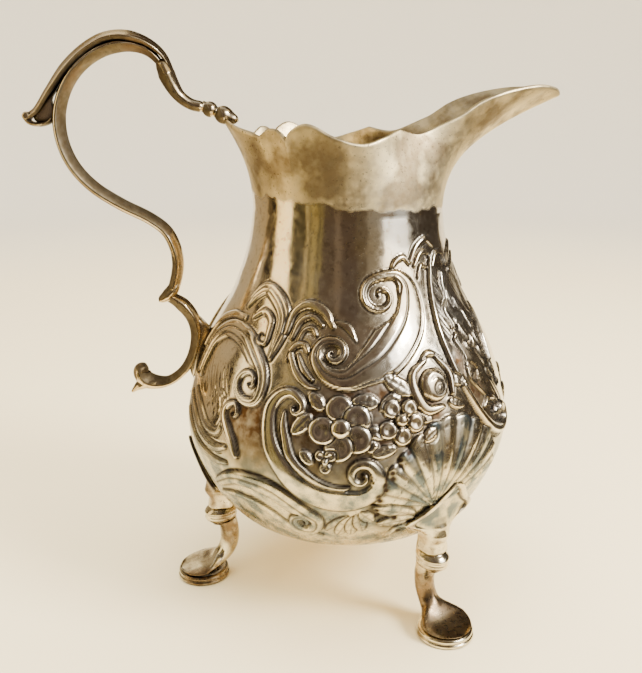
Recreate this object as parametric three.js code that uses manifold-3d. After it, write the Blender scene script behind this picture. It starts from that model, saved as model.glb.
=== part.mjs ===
// A small silver cream jug on three feet, in millimetres, +Z up, with its soles on Z = 0.
// The spout points along +X, the handle along -X, and the two sides mirror each other in Y.
import * as THREE from "three";
import Module from "manifold-3d";

const wasm = await Module();
wasm.setup();

// Driving sizes of the jug, measured from the body's own axis.
const WALL = 0.8;
const GAP = 0.3;
const NECK_RADIUS = 18.5;
const NECK_HEIGHT = 79;
const BODY_TURNS = 72;
const LEG_AZIMUTHS = [180, -60, 60];
const LEG_NAMES = ["back", "right", "left"];
const SOLE_RADIUS = 5.5;
const SOLE_CENTRE = 31;
const SHIELD_HALF_WIDTH = 8.5;
const SHIELD_TOP = 32.3;

// The raised body from its underside to its neck, as radius and height.
const BODY_PROFILE = [
  [0, 12.6],
  [9, 13.2],
  [21.5, 17],
  [27, 22],
  [30.4, 28],
  [32.7, 36],
  [31.4, 45],
  [28.2, 54],
  [23, 63],
  [19.7, 72],
  [NECK_RADIUS, NECK_HEIGHT],
];

// The rim's radius and height by azimuth from the spout, the same on both sides.
const RIM_RADII = [
  [0, 41.5],
  [7, 38.3],
  [13, 34.6],
  [20, 29],
  [26, 24.4],
  [38, 18.4],
  [52, 16.4],
  [65, 16.4],
  [85, 19.2],
  [120, 20.6],
  [150, 21.6],
  [180, 23.6],
];
const LIP_EDGE = [
  [0, 100],
  [4, 101],
  [13, 101.3],
  [22, 99.6],
  [32, 95.6],
  [46, 93.2],
  [65, 93.9],
];
const SIDE_DIP = [
  [65, 93.9],
  [78, 92.6],
  [92, 91.4],
  [106, 92.6],
  [119, 94.7],
  [127, 93.6],
  [130, 91.9],
];
const SMALL_LOBE = [
  [130, 91.9],
  [134, 93.4],
  [140, 93.8],
  [146, 92.5],
];
const BACK_RISE = [
  [146, 92.5],
  [160, 93.6],
  [180, 95.2],
];
const RIM_HEIGHTS = [LIP_EDGE, SIDE_DIP, SMALL_LOBE, BACK_RISE];

// The handle's centre lines, as X and Z in the plane Y = 0.
const MAIN_SCROLL = [
  [-34.8, 105.7],
  [-37, 107.7],
  [-40.7, 108.7],
  [-44.6, 108],
  [-48.8, 105.4],
  [-51.9, 101.4],
  [-53.5, 96.5],
  [-53.3, 91.8],
  [-51.6, 87.4],
  [-48.4, 83.6],
  [-43.6, 80.3],
  [-38.2, 77.4],
  [-35.3, 75],
  [-33.8, 71.8],
  [-33.4, 68.4],
  [-34.5, 63.5],
];
const RIM_NECK = [
  [-34.5, 105.2],
  [-33.3, 102.5],
  [-31.7, 100],
  [-29.6, 98.5],
  [-27.3, 98],
];
const LEAF = [
  [-33.9, 106.7],
  [-37, 109.3],
  [-40.8, 110.5],
  [-44.5, 110],
  [-48.1, 108],
  [-51.8, 104.7],
  [-55, 100.7],
  [-57.6, 97.2],
  [-58.9, 96.1],
  [-59.7, 96.7],
];
const LEAF_WEB = [
  [-51.4, 104.3],
  [-57.4, 97],
  [-58.6, 95.3],
  [-57, 95.2],
  [-55.4, 95.7],
  [-55.3, 98.4],
];
const BEADS_START = [-26.9, 0, 98];
const BEADS_DIP = 15;
const LOWER_SCROLL = [
  [-35.2, 62],
  [-32.7, 60.1],
  [-31, 57.6],
  [-30.4, 54.5],
  [-30.9, 51.4],
  [-32, 48.6],
  [-33.8, 46.3],
  [-36.3, 44.7],
  [-39, 44.4],
  [-41, 45.5],
  [-41.1, 47],
  [-40.1, 47.6],
];
const LOWER_TAIL = [
  [-39.6, 44.7],
  [-41.6, 44.1],
  [-43, 43.2],
];

const silver = new THREE.MeshStandardMaterial({
  color: 0xd8cfb8,
  metalness: 1,
  roughness: 0.22,
});
const dullSilver = new THREE.MeshStandardMaterial({
  color: 0xc2b48f,
  metalness: 1,
  roughness: 0.35,
});

const jug = new THREE.Group();

function radians(degrees) {
  return (degrees * Math.PI) / 180;
}

// A closed solid through rings of points, with a fan over each end.
function loft(rings) {
  const count = rings[0].length;
  const points = rings.flat();
  const faces = [];
  for (let i = 0; i < rings.length - 1; i++) {
    for (let j = 0; j < count; j++) {
      const a = i * count + j;
      const b = i * count + ((j + 1) % count);
      faces.push(a, b, b + count);
      faces.push(a, b + count, a + count);
    }
  }
  const last = (rings.length - 1) * count;
  const startCentre = points.push(centreOf(rings[0])) - 1;
  const endCentre = points.push(centreOf(rings[rings.length - 1])) - 1;
  for (let j = 0; j < count; j++) {
    const next = (j + 1) % count;
    faces.push(startCentre, next, j);
    faces.push(endCentre, last + j, last + next);
  }
  const geometry = new THREE.BufferGeometry().setFromPoints(points);
  geometry.setIndex(faces);
  geometry.computeVertexNormals();
  return geometry;
}

function centreOf(ring) {
  const sum = new THREE.Vector3();
  for (const point of ring) sum.add(point);
  return sum.divideScalar(ring.length);
}

// A smooth curve in the plane Y = 0.
function planeCurve(points) {
  const path = points.map(([x, z]) => new THREE.Vector3(x, 0, z));
  return new THREE.CatmullRomCurve3(path, false, "centripetal");
}

// A strap's section: flat inside, crowned outside, as steps across the strap and along Y.
function strapSection() {
  const section = [];
  for (let k = 0; k <= 6; k++) {
    const turn = radians(-90 + k * 30);
    section.push([0.5 * Math.cos(turn), Math.sin(turn)]);
  }
  section.push([-0.5, 0.9], [-0.5, -0.9]);
  return section;
}

function roundSection(sides) {
  const section = [];
  for (let k = 0; k < sides; k++) {
    const turn = (k * 2 * Math.PI) / sides;
    section.push([0.5 * Math.cos(turn), Math.sin(turn)]);
  }
  return section;
}

// A solid swept along a curve in the plane Y = 0, its size changing along the way.
function sweep(curve, section, steps, thickness, halfWidth) {
  const rings = [];
  for (let i = 0; i <= steps; i++) {
    const t = i / steps;
    const centre = curve.getPointAt(t);
    const along = curve.getTangentAt(t);
    const across = new THREE.Vector3(along.z, 0, -along.x);
    rings.push(
      section.map(([n, y]) => {
        const point = centre.clone().addScaledVector(across, n * thickness(t));
        point.y = y * halfWidth(t);
        return point;
      }),
    );
  }
  return loft(rings);
}

// A straight change between values spread evenly over 0 to 1.
function graded(...values) {
  return (t) => {
    const place = Math.min(t, 0.9999) * (values.length - 1);
    const i = Math.floor(place);
    return THREE.MathUtils.lerp(values[i], values[i + 1], place - i);
  };
}

function toSolid(geometry) {
  const mesh = new wasm.Mesh({
    numProp: 3,
    vertProperties: geometry.getAttribute("position").array,
    triVerts: new Uint32Array(geometry.getIndex().array),
  });
  return new wasm.Manifold(mesh);
}

function toGeometry(solid) {
  const mesh = solid.getMesh();
  const points = new THREE.BufferAttribute(mesh.vertProperties, 3);
  const geometry = new THREE.BufferGeometry().setAttribute("position", points);
  geometry.setIndex(new THREE.BufferAttribute(mesh.triVerts, 1));
  geometry.computeVertexNormals();
  return geometry;
}

function addPiece(name, geometry, material, parent = jug) {
  const mesh = new THREE.Mesh(geometry, material);
  mesh.name = name;
  parent.add(mesh);
  return mesh;
}

// A value read from a smooth curve through [azimuth, value] points, level at the spout and the handle.
function valueAt(points, azimuth) {
  let i = 0;
  while (i < points.length - 2 && azimuth > points[i + 1][0]) i++;
  const [from, to] = [points[i], points[i + 1]];
  const before = points[Math.max(i - 1, 0)];
  const after = points[Math.min(i + 2, points.length - 1)];
  const step = to[0] - from[0];
  const startSlope = from[0] === 0 ? 0 : (to[1] - before[1]) / (to[0] - before[0]);
  const endSlope = to[0] === 180 ? 0 : (after[1] - from[1]) / (after[0] - from[0]);
  const t = (azimuth - from[0]) / step;
  const rise = t * t * (3 - 2 * t);
  const leave = t * (1 - t) * (1 - t) * step * startSlope;
  const arrive = t * t * (t - 1) * step * endSlope;
  return from[1] + rise * (to[1] - from[1]) + leave + arrive;
}

function rimAt(azimuth) {
  const radius = valueAt(RIM_RADII, azimuth);
  const part = RIM_HEIGHTS.find((points) => azimuth <= points[points.length - 1][0]);
  return { radius, height: valueAt(part, azimuth) };
}

// The flare from the neck to the rim at one azimuth, as radius and height.
function flareCurve(azimuth) {
  const rim = rimAt(azimuth);
  const out = rim.radius - NECK_RADIUS;
  const up = rim.height - NECK_HEIGHT;
  return new THREE.CubicBezierCurve(
    new THREE.Vector2(NECK_RADIUS, NECK_HEIGHT),
    new THREE.Vector2(NECK_RADIUS + 0.1, NECK_HEIGHT + 0.43 * up),
    new THREE.Vector2(NECK_RADIUS + 0.37 * out, NECK_HEIGHT + 0.69 * up),
    new THREE.Vector2(rim.radius, rim.height),
  );
}

function profileCurve() {
  return new THREE.SplineCurve(BODY_PROFILE.map(([r, z]) => new THREE.Vector2(r, z)));
}

// The outside of the body as rings of points, from the underside up to the rim.
function outsideRings() {
  const belly = profileCurve();
  const bellyRows = 15;
  const flareRows = 8;
  const rings = [];
  for (let row = 1; row <= bellyRows + flareRows; row++) {
    const ring = [];
    for (let k = 0; k < BODY_TURNS; k++) {
      const turn = (k * 2 * Math.PI) / BODY_TURNS;
      const degrees = (k * 360) / BODY_TURNS;
      const azimuth = degrees > 180 ? 360 - degrees : degrees;
      const point =
        row <= bellyRows
          ? belly.getPointAt(row / bellyRows)
          : flareCurve(azimuth).getPoint((row - bellyRows) / flareRows);
      ring.push(new THREE.Vector3(point.x * Math.cos(turn), point.x * Math.sin(turn), point.y));
    }
    rings.push(ring);
  }
  return rings;
}

// The direction square to the wall at one point of the rings, pointing out.
function wallNormal(rings, row, k) {
  const count = rings[0].length;
  const below = rings[Math.max(row - 1, 0)][k];
  const above = rings[Math.min(row + 1, rings.length - 1)][k];
  const left = rings[row][(k + count - 1) % count];
  const right = rings[row][(k + 1) % count];
  const up = above.clone().sub(below);
  const round = right.clone().sub(left);
  return round.cross(up).normalize();
}

function bodyGeometry() {
  const outside = outsideRings();
  const last = outside.length - 1;
  const inside = [];
  for (let row = last; row >= 0; row -= 2) {
    inside.push(
      outside[row].map((point, k) => {
        const normal = wallNormal(outside, row, k);
        return point.clone().addScaledVector(normal, -WALL);
      }),
    );
  }
  return loft([...outside, ...inside]);
}

// A plain solid of revolution, larger than the body by the gap that its fittings keep.
function bodyClearance() {
  const profile = profileCurve().getPoints(44);
  const rings = profile.slice(1).map((point) => {
    const ring = [];
    for (let k = 0; k < BODY_TURNS; k++) {
      const turn = (k * 2 * Math.PI) / BODY_TURNS;
      ring.push(new THREE.Vector3(point.x * Math.cos(turn), point.x * Math.sin(turn), point.y));
    }
    return ring;
  });
  const grown = rings.map((ring, row) =>
    ring.map((point, k) => point.clone().addScaledVector(wallNormal(rings, row, k), GAP)),
  );
  return toSolid(loft(grown));
}

// The thin dished plate of a leg, standing off the body: pointed at its top and at its two wings.
function shieldPlate() {
  const face = planeCurve([
    [28.6, 19.2],
    [29.7, 21.6],
    [31.5, 25.4],
    [32.5, 28.6],
    [32.6, SHIELD_TOP],
  ]);
  const halfWidth = planeCurve([
    [0, 3],
    [0.18, 3.9],
    [0.42, SHIELD_HALF_WIDTH],
    [0.7, 5],
    [1, 0.3],
  ]);
  const rows = 14;
  const rings = [];
  for (let i = 0; i <= rows; i++) {
    const t = i / rows;
    const centre = face.getPointAt(t);
    const width = halfWidth.getPoint(t).z;
    const ring = [];
    for (const side of [1, -1]) {
      for (let k = -4; k <= 4; k++) {
        const y = (side * k * width) / 4;
        const edge = 1 - 0.6 * Math.abs(k / 4) ** 2;
        const curl = (y * y) / 52;
        ring.push(new THREE.Vector3(centre.x - curl + side * 0.5 * edge, y, centre.z));
      }
    }
    rings.push(ring);
  }
  return loft(rings);
}

// An oval column between heights, as [height, inner reach, outer reach, half width].
function ovalColumn(levels, sides = 16) {
  return loft(
    levels.map(([height, inner, outer, halfWidth]) => {
      const ring = [];
      for (let k = 0; k < sides; k++) {
        const turn = (k * 2 * Math.PI) / sides;
        const x = (inner + outer) / 2 + ((outer - inner) / 2) * Math.cos(turn);
        ring.push(new THREE.Vector3(x, halfWidth * Math.sin(turn), height));
      }
      return ring;
    }),
  );
}

function shieldGeometry(clearance) {
  const neck = ovalColumn([
    [16.8, 24, 29.4, 2.7],
    [18.4, 24.4, 29.3, 2.5],
    [20.4, 25, 29.8, 3],
    [22.4, 26, 30.6, 4],
  ]);
  const whole = toSolid(shieldPlate()).add(toSolid(neck)).subtract(clearance);
  const parts = whole.decompose();
  parts.sort((a, b) => b.volume() - a.volume());
  return toGeometry(parts[0]);
}

function knuckleGeometry() {
  return ovalColumn([
    [12.7, 24.4, 28.6, 2.2],
    [13.3, 23.8, 29.8, 2.7],
    [14.6, 23.5, 30.5, 3],
    [15.9, 23.8, 30, 2.8],
    [16.5, 24.2, 29.3, 2.5],
  ]);
}

// The cabriole shank: it drops, then sweeps out over the sole.
function shankGeometry() {
  const line = planeCurve([
    [25.2, 12.4],
    [25, 9.6],
    [25.3, 7.2],
    [26.4, 5.1],
    [28.4, 3.7],
    [31.2, 3],
  ]);
  const thickness = graded(3.7, 3.5, 3.5, 3.4, 2.6, 1.2);
  const halfWidth = graded(1.9, 1.8, 1.9, 2.4, 3.4, 4);
  return sweep(line, roundSection(14), 14, thickness, halfWidth);
}

// The round sole with its stepped double edge.
function soleGeometry() {
  const profile = [
    [0, 0],
    [SOLE_RADIUS - 0.3, 0],
    [SOLE_RADIUS, 0.3],
    [SOLE_RADIUS, 0.7],
    [SOLE_RADIUS - 0.35, 0.95],
    [SOLE_RADIUS - 0.15, 1.3],
    [SOLE_RADIUS - 0.5, 1.7],
    [SOLE_RADIUS - 1.2, 1.6],
    [0, 1.4],
  ];
  const points = profile.map(([r, z]) => new THREE.Vector2(r, z));
  return new THREE.LatheGeometry(points, 32).rotateX(Math.PI / 2);
}

function addLegs(clearance) {
  const shield = shieldGeometry(clearance);
  const knuckle = knuckleGeometry();
  const shank = shankGeometry();
  const sole = soleGeometry();
  LEG_NAMES.forEach((name, i) => {
    const leg = new THREE.Group();
    leg.rotation.z = radians(LEG_AZIMUTHS[i]);
    jug.add(leg);
    addPiece(`${name}_leg_shield`, shield, silver, leg);
    addPiece(`${name}_leg_knuckle`, knuckle, silver, leg);
    addPiece(`${name}_leg_shank`, shank, silver, leg);
    addPiece(`${name}_leg_sole`, sole, silver, leg).position.x = SOLE_CENTRE;
  });
}

// The acanthus leaf that lies over the arch and ends in a curled thumb spur, with its web.
function leafGeometry() {
  const leaf = sweep(
    planeCurve(LEAF),
    roundSection(10),
    26,
    graded(0.6, 1.1, 1.1, 1.1, 1.1, 1.1, 1.3),
    graded(1.2, 2.6, 3, 3.1, 3, 2.4, 1.2),
  );
  const outline = new THREE.Shape(LEAF_WEB.map(([x, z]) => new THREE.Vector2(x, z)));
  const web = new THREE.ExtrudeGeometry(outline, { depth: 2.4, bevelEnabled: false });
  web.translate(0, 0, -1.2).rotateX(Math.PI / 2);
  return toGeometry(toSolid(leaf).add(toSolid(welded(web))));
}

// The same faces on shared corners.
function welded(geometry) {
  const source = geometry.getAttribute("position");
  const found = new Map();
  const points = [];
  const faces = [];
  for (let i = 0; i < source.count; i++) {
    const point = new THREE.Vector3().fromBufferAttribute(source, i);
    const key = point.toArray().map((value) => value.toFixed(4)).join();
    if (!found.has(key)) found.set(key, points.push(point) - 1);
    faces.push(found.get(key));
  }
  const shared = new THREE.BufferGeometry().setFromPoints(points);
  shared.setIndex(faces);
  return shared;
}

// Two turned beads and a small tail, on a line that dips on to the rim.
function beadsGeometry() {
  const profile = [
    [0, 0],
    [0.9, 0],
    [1.35, 0.6],
    [1.4, 1.2],
    [1, 1.9],
    [1, 2.2],
    [1.35, 2.7],
    [1.3, 3.4],
    [0.8, 4],
    [0.7, 4.8],
    [0, 5.3],
  ];
  const points = profile.map(([r, z]) => new THREE.Vector2(r, z));
  return new THREE.LatheGeometry(points, 20);
}

function addHandle(clearance) {
  const main = sweep(
    planeCurve(MAIN_SCROLL),
    strapSection(),
    64,
    graded(1.8, 1.8, 2.2, 2.4, 2.4, 2.4, 2.4),
    graded(2.8, 3.1, 3, 2.8, 2.6, 2.4, 2.2),
  );
  addPiece("handle_main_scroll", main, silver);
  addPiece("handle_leaf_spur", leafGeometry(), silver);
  const neck = sweep(
    planeCurve(RIM_NECK),
    roundSection(12),
    14,
    graded(2.6, 2.3, 1.9, 1.8, 1.9),
    graded(2.6, 2.2, 1.8, 1.6, 1.5),
  );
  addPiece("handle_rim_neck", neck, silver);
  const beads = addPiece("handle_rim_beads", beadsGeometry(), silver);
  beads.scale.x = 1.2;
  beads.position.set(...BEADS_START);
  beads.rotation.set(0, radians(BEADS_DIP), radians(-90));
  const scroll = sweep(
    planeCurve(LOWER_SCROLL),
    strapSection(),
    40,
    graded(2.4, 2.1, 1.9, 1.9, 1.8, 1.6, 1.5),
    graded(2.2, 2.2, 2.1, 2, 2, 2, 1.8),
  );
  const tail = sweep(
    planeCurve(LOWER_TAIL),
    roundSection(8),
    6,
    graded(1.4, 1, 0.4),
    graded(1.8, 1.2, 0.4),
  );
  const lower = toSolid(scroll).add(toSolid(tail)).subtract(clearance);
  addPiece("handle_lower_scroll", toGeometry(lower), dullSilver);
}

const clearance = bodyClearance();
addPiece("body", bodyGeometry(), silver);
addLegs(clearance);
addHandle(clearance);

// The object's own frame has its origin under the middle of the jug's box.
const box = new THREE.Box3().setFromObject(jug, true);
jug.position.x = -(box.min.x + box.max.x) / 2;

const part = new THREE.Group();
part.add(jug);

export default part;
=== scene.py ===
"""A silver cream jug on three feet: its chased body, scroll handle and legs, in a plain pale studio."""

import math

import bmesh
import bpy
import numpy as np
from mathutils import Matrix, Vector


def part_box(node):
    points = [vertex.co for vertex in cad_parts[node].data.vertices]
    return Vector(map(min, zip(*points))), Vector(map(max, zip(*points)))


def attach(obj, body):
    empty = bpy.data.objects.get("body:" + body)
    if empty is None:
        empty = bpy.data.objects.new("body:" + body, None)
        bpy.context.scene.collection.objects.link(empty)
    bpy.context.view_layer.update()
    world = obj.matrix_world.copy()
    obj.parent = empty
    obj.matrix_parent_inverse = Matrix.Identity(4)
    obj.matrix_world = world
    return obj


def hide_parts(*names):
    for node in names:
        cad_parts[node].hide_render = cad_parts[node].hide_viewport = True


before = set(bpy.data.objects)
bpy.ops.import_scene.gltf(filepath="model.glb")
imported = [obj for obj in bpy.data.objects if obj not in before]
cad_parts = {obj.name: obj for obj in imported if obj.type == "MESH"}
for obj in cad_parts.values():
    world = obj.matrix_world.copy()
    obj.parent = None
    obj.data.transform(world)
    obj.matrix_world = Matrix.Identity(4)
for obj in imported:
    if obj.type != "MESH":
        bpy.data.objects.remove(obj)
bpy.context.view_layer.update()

MM = 0.001
body_low, body_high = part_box("body")
AXIS_X = body_low.x + (body_high.y - body_low.y) / 2

# Curves.


def smoothstep(low, high, value):
    t = np.clip((value - low) / (high - low), 0, 1)
    return t * t * (3 - 2 * t)


def bell(value, width):
    return np.exp(-((value / width) ** 2))


def crowned(lift, crown, share):
    """Height over a rounded shape, from its middle, share 0, out to its edge, 1 or -1."""
    return lift + crown * np.sqrt(np.clip(1 - share**2, 0, 1))


def full_turn(count):
    """Evenly spaced angles once round, without the last one."""
    return np.linspace(0, 2 * math.pi, count, endpoint=False)


def length_along(line):
    """How far each of a line's points lies along it."""
    return np.concatenate([[0], np.cumsum(np.hypot(*np.diff(line, axis=0).T))])


def spline(points, count, power=0.5, mirrored=True):
    """Evenly spaced points of a Catmull-Rom curve; only the first two columns count as length."""
    p = np.asarray(points, float)
    before, after = (2 * p[0] - p[1], 2 * p[-1] - p[-2]) if mirrored else (p[0], p[-1])
    padded = np.vstack([before, p, after])
    t = np.linspace(0, 1, 40, endpoint=False)[:, None]
    pieces = []
    for i in range(len(p) - 1):
        a, b, c, d = padded[i : i + 4]
        ab, bc, cd = (
            max(np.linalg.norm((v - u)[:2]), 1e-9) ** power
            for u, v in ((a, b), (b, c), (c, d))
        )
        leave = bc * ((b - a) / ab - (c - a) / (ab + bc) + (c - b) / bc)
        arrive = bc * ((c - b) / bc - (d - b) / (bc + cd) + (d - c) / cd)
        bend = (2 * t**3 - 3 * t**2 + 1) * b + (t**3 - 2 * t**2 + t) * leave
        pieces.append(bend + (3 * t**2 - 2 * t**3) * c + (t**3 - t**2) * arrive)
    line = np.vstack(pieces + [p[-1:]])
    length = length_along(line[:, :2])
    places = np.linspace(0, length[-1], count)
    return np.stack([np.interp(places, length, column) for column in line.T], 1)


def value_at(points, azimuth):
    """A smooth curve through [azimuth, value] points, level at the spout and at the handle."""
    turns, values = np.array(points, float).T
    slopes = np.empty_like(values)
    slopes[1:-1] = (values[2:] - values[:-2]) / (turns[2:] - turns[:-2])
    slopes[0] = 0 if turns[0] == 0 else (values[1] - values[0]) / (turns[1] - turns[0])
    slopes[-1] = 0 if turns[-1] == 180 else (values[-1] - values[-2]) / (turns[-1] - turns[-2])
    i = np.clip(np.searchsorted(turns, azimuth) - 1, 0, len(turns) - 2)
    step = turns[i + 1] - turns[i]
    t = (azimuth - turns[i]) / step
    rise = t * t * (3 - 2 * t)
    bend = t * (1 - t) ** 2 * step * slopes[i] + t * t * (t - 1) * step * slopes[i + 1]
    return values[i] + rise * (values[i + 1] - values[i]) + bend


# The body's plain shape, in millimetres from its own axis.

WALL = 0.8
NECK_RADIUS = 18.5
NECK_HEIGHT = 79
BODY_PROFILE = [
    (0, 12.6), (9, 13.2), (21.5, 17), (27, 22), (30.4, 28), (32.7, 36), (31.4, 45), (28.2, 54),
    (23, 63), (19.7, 72), (NECK_RADIUS, NECK_HEIGHT),
]
RIM_RADII = [
    (0, 41.5), (7, 38.3), (13, 34.6), (20, 29), (26, 24.4), (38, 18.4), (52, 16.4), (65, 16.4),
    (85, 19.2), (120, 20.6), (150, 21.6), (180, 23.6),
]
RIM_HEIGHTS = [
    [(0, 100), (4, 101), (13, 101.3), (22, 99.6), (32, 95.6), (46, 93.2), (65, 93.9)],
    [(65, 93.9), (78, 92.6), (92, 91.4), (106, 92.6), (119, 94.7), (127, 93.6), (130, 91.9)],
    [(130, 91.9), (134, 93.4), (140, 93.8), (146, 92.5)],
    [(146, 92.5), (160, 93.6), (180, 95.2)],
]
COLUMNS = 800
HALF = COLUMNS // 2
PLAIN_UNDERSIDE = 24
UNDERSIDE_ROWS = 24
FINE_ROW = 0.26
FLARE_ROWS = 36
# Rows over which the relief fades out at the foot and the top of the chased part.
FADE_ROWS = 12

profile = spline(BODY_PROFILE, 2400, power=0, mirrored=False)
profile_length = length_along(profile)


def on_profile(length):
    """Radius and height at a length along the profile from the middle of the underside."""
    return np.stack([np.interp(length, profile_length, column) for column in profile.T], -1)


def rim_height(azimuth):
    height = np.empty_like(azimuth)
    for points in RIM_HEIGHTS:
        part = (azimuth >= points[0][0]) & (azimuth <= points[-1][0])
        height[part] = value_at(points, azimuth[part])
    return height


def eased(values, reach):
    """Values round the rim with their sharp corners smoothed away."""
    return sum(np.roll(values, shift) for shift in range(-reach, reach + 1)) / (2 * reach + 1)


def flare(azimuth, t):
    """Radius and height at t from the neck, 0, to the rim, 1, at each azimuth."""
    radius, height = value_at(RIM_RADII, azimuth), rim_height(azimuth)
    out, up = radius - NECK_RADIUS, eased(eased(height, 24), 16) - NECK_HEIGHT
    weights = ((1 - t) ** 3, 3 * t * (1 - t) ** 2, 3 * t * t * (1 - t), t**3)
    radii = (NECK_RADIUS, NECK_RADIUS + 0.1, NECK_RADIUS + 0.37 * out, radius)
    heights = (NECK_HEIGHT, NECK_HEIGHT + 0.43 * up, NECK_HEIGHT + 0.69 * up, height)
    return sum(w * r for w, r in zip(weights, radii)), sum(w * h for w, h in zip(weights, heights))


def plain_outside():
    """The unornamented outside as a grid of points, rows going up and columns going round."""
    turns = np.arange(COLUMNS) * 2 * math.pi / COLUMNS
    azimuth = np.degrees(np.minimum(turns, 2 * math.pi - turns))
    underside = np.linspace(0.5, PLAIN_UNDERSIDE, UNDERSIDE_ROWS, endpoint=False)
    belly_rows = round((profile_length[-1] - PLAIN_UNDERSIDE) / FINE_ROW)
    belly = np.linspace(PLAIN_UNDERSIDE, profile_length[-1], belly_rows)
    rings = [on_profile(length) for length in np.concatenate([underside, belly])]
    rings += [flare(azimuth, t) for t in np.linspace(0, 1, FLARE_ROWS + 1)[1:]]
    grid = [np.stack([r * np.cos(turns), r * np.sin(turns), z + 0 * turns], 1) for r, z in rings]
    return np.array(grid), len(underside), len(underside) + len(belly)


def normals_of(grid):
    """Unit vectors square to a grid of points that closes round its columns, pointing out."""
    up = np.gradient(grid, axis=0)
    around = np.roll(grid, -1, axis=1) - np.roll(grid, 1, axis=1)
    normal = np.cross(around, up)
    return normal / np.linalg.norm(normal, axis=2, keepdims=True)


# The chased ornament, drawn on a flat chart of one side of the body.

# The chart keeps angles: it is 30 mm of radius to the radian, and stretched alike upwards.
CHART_RADIUS = 30
chart_rise = np.concatenate(
    [[0], np.cumsum(CHART_RADIUS * np.diff(profile_length) / np.maximum(profile[1:, 0], 1))]
)
GROOVE = 0.21
EDGE = 0.16
SAMPLE = 0.12
BLOCK = 3000


def chart(points):
    """Chart places of (azimuth, height, ...) points; any further values are kept."""
    points = np.array(points, float)
    points[:, 0] = CHART_RADIUS * np.radians(points[:, 0])
    points[:, 1] = np.interp(points[:, 1], profile[:, 1], chart_rise)
    return points


def coil(start, eye, turns, width):
    """A volute's line from its start in to its eye; turns below 0 go clockwise."""
    start, eye = chart([start])[0], chart([eye])[0]
    reach = np.hypot(*(start - eye))
    from_angle = math.atan2(start[1] - eye[1], start[0] - eye[0])
    line = []
    for step in np.linspace(0, 1, int(abs(turns) * 14))[1:]:
        angle = from_angle + step * turns * 2 * math.pi
        size = (1 - step) ** 0.85
        out = reach * size
        line.append((eye[0] + out * math.cos(angle), eye[1] + out * math.sin(angle), width * size))
    return line


def spine(points, head=None, tail=None):
    """A scroll's centre line with half widths; head and tail are (eye, turns) of the ends' volutes."""
    line = [tuple(point) for point in chart(points)]
    if head:
        line = coil(points[0][:2], head[0], head[1], points[0][2])[::-1] + line
    if tail:
        line = line + coil(points[-1][:2], tail[0], tail[1], points[-1][2])
    line = np.array(line)
    return spline(line, max(int(length_along(line[:, :2])[-1] / SAMPLE), 12))


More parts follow.
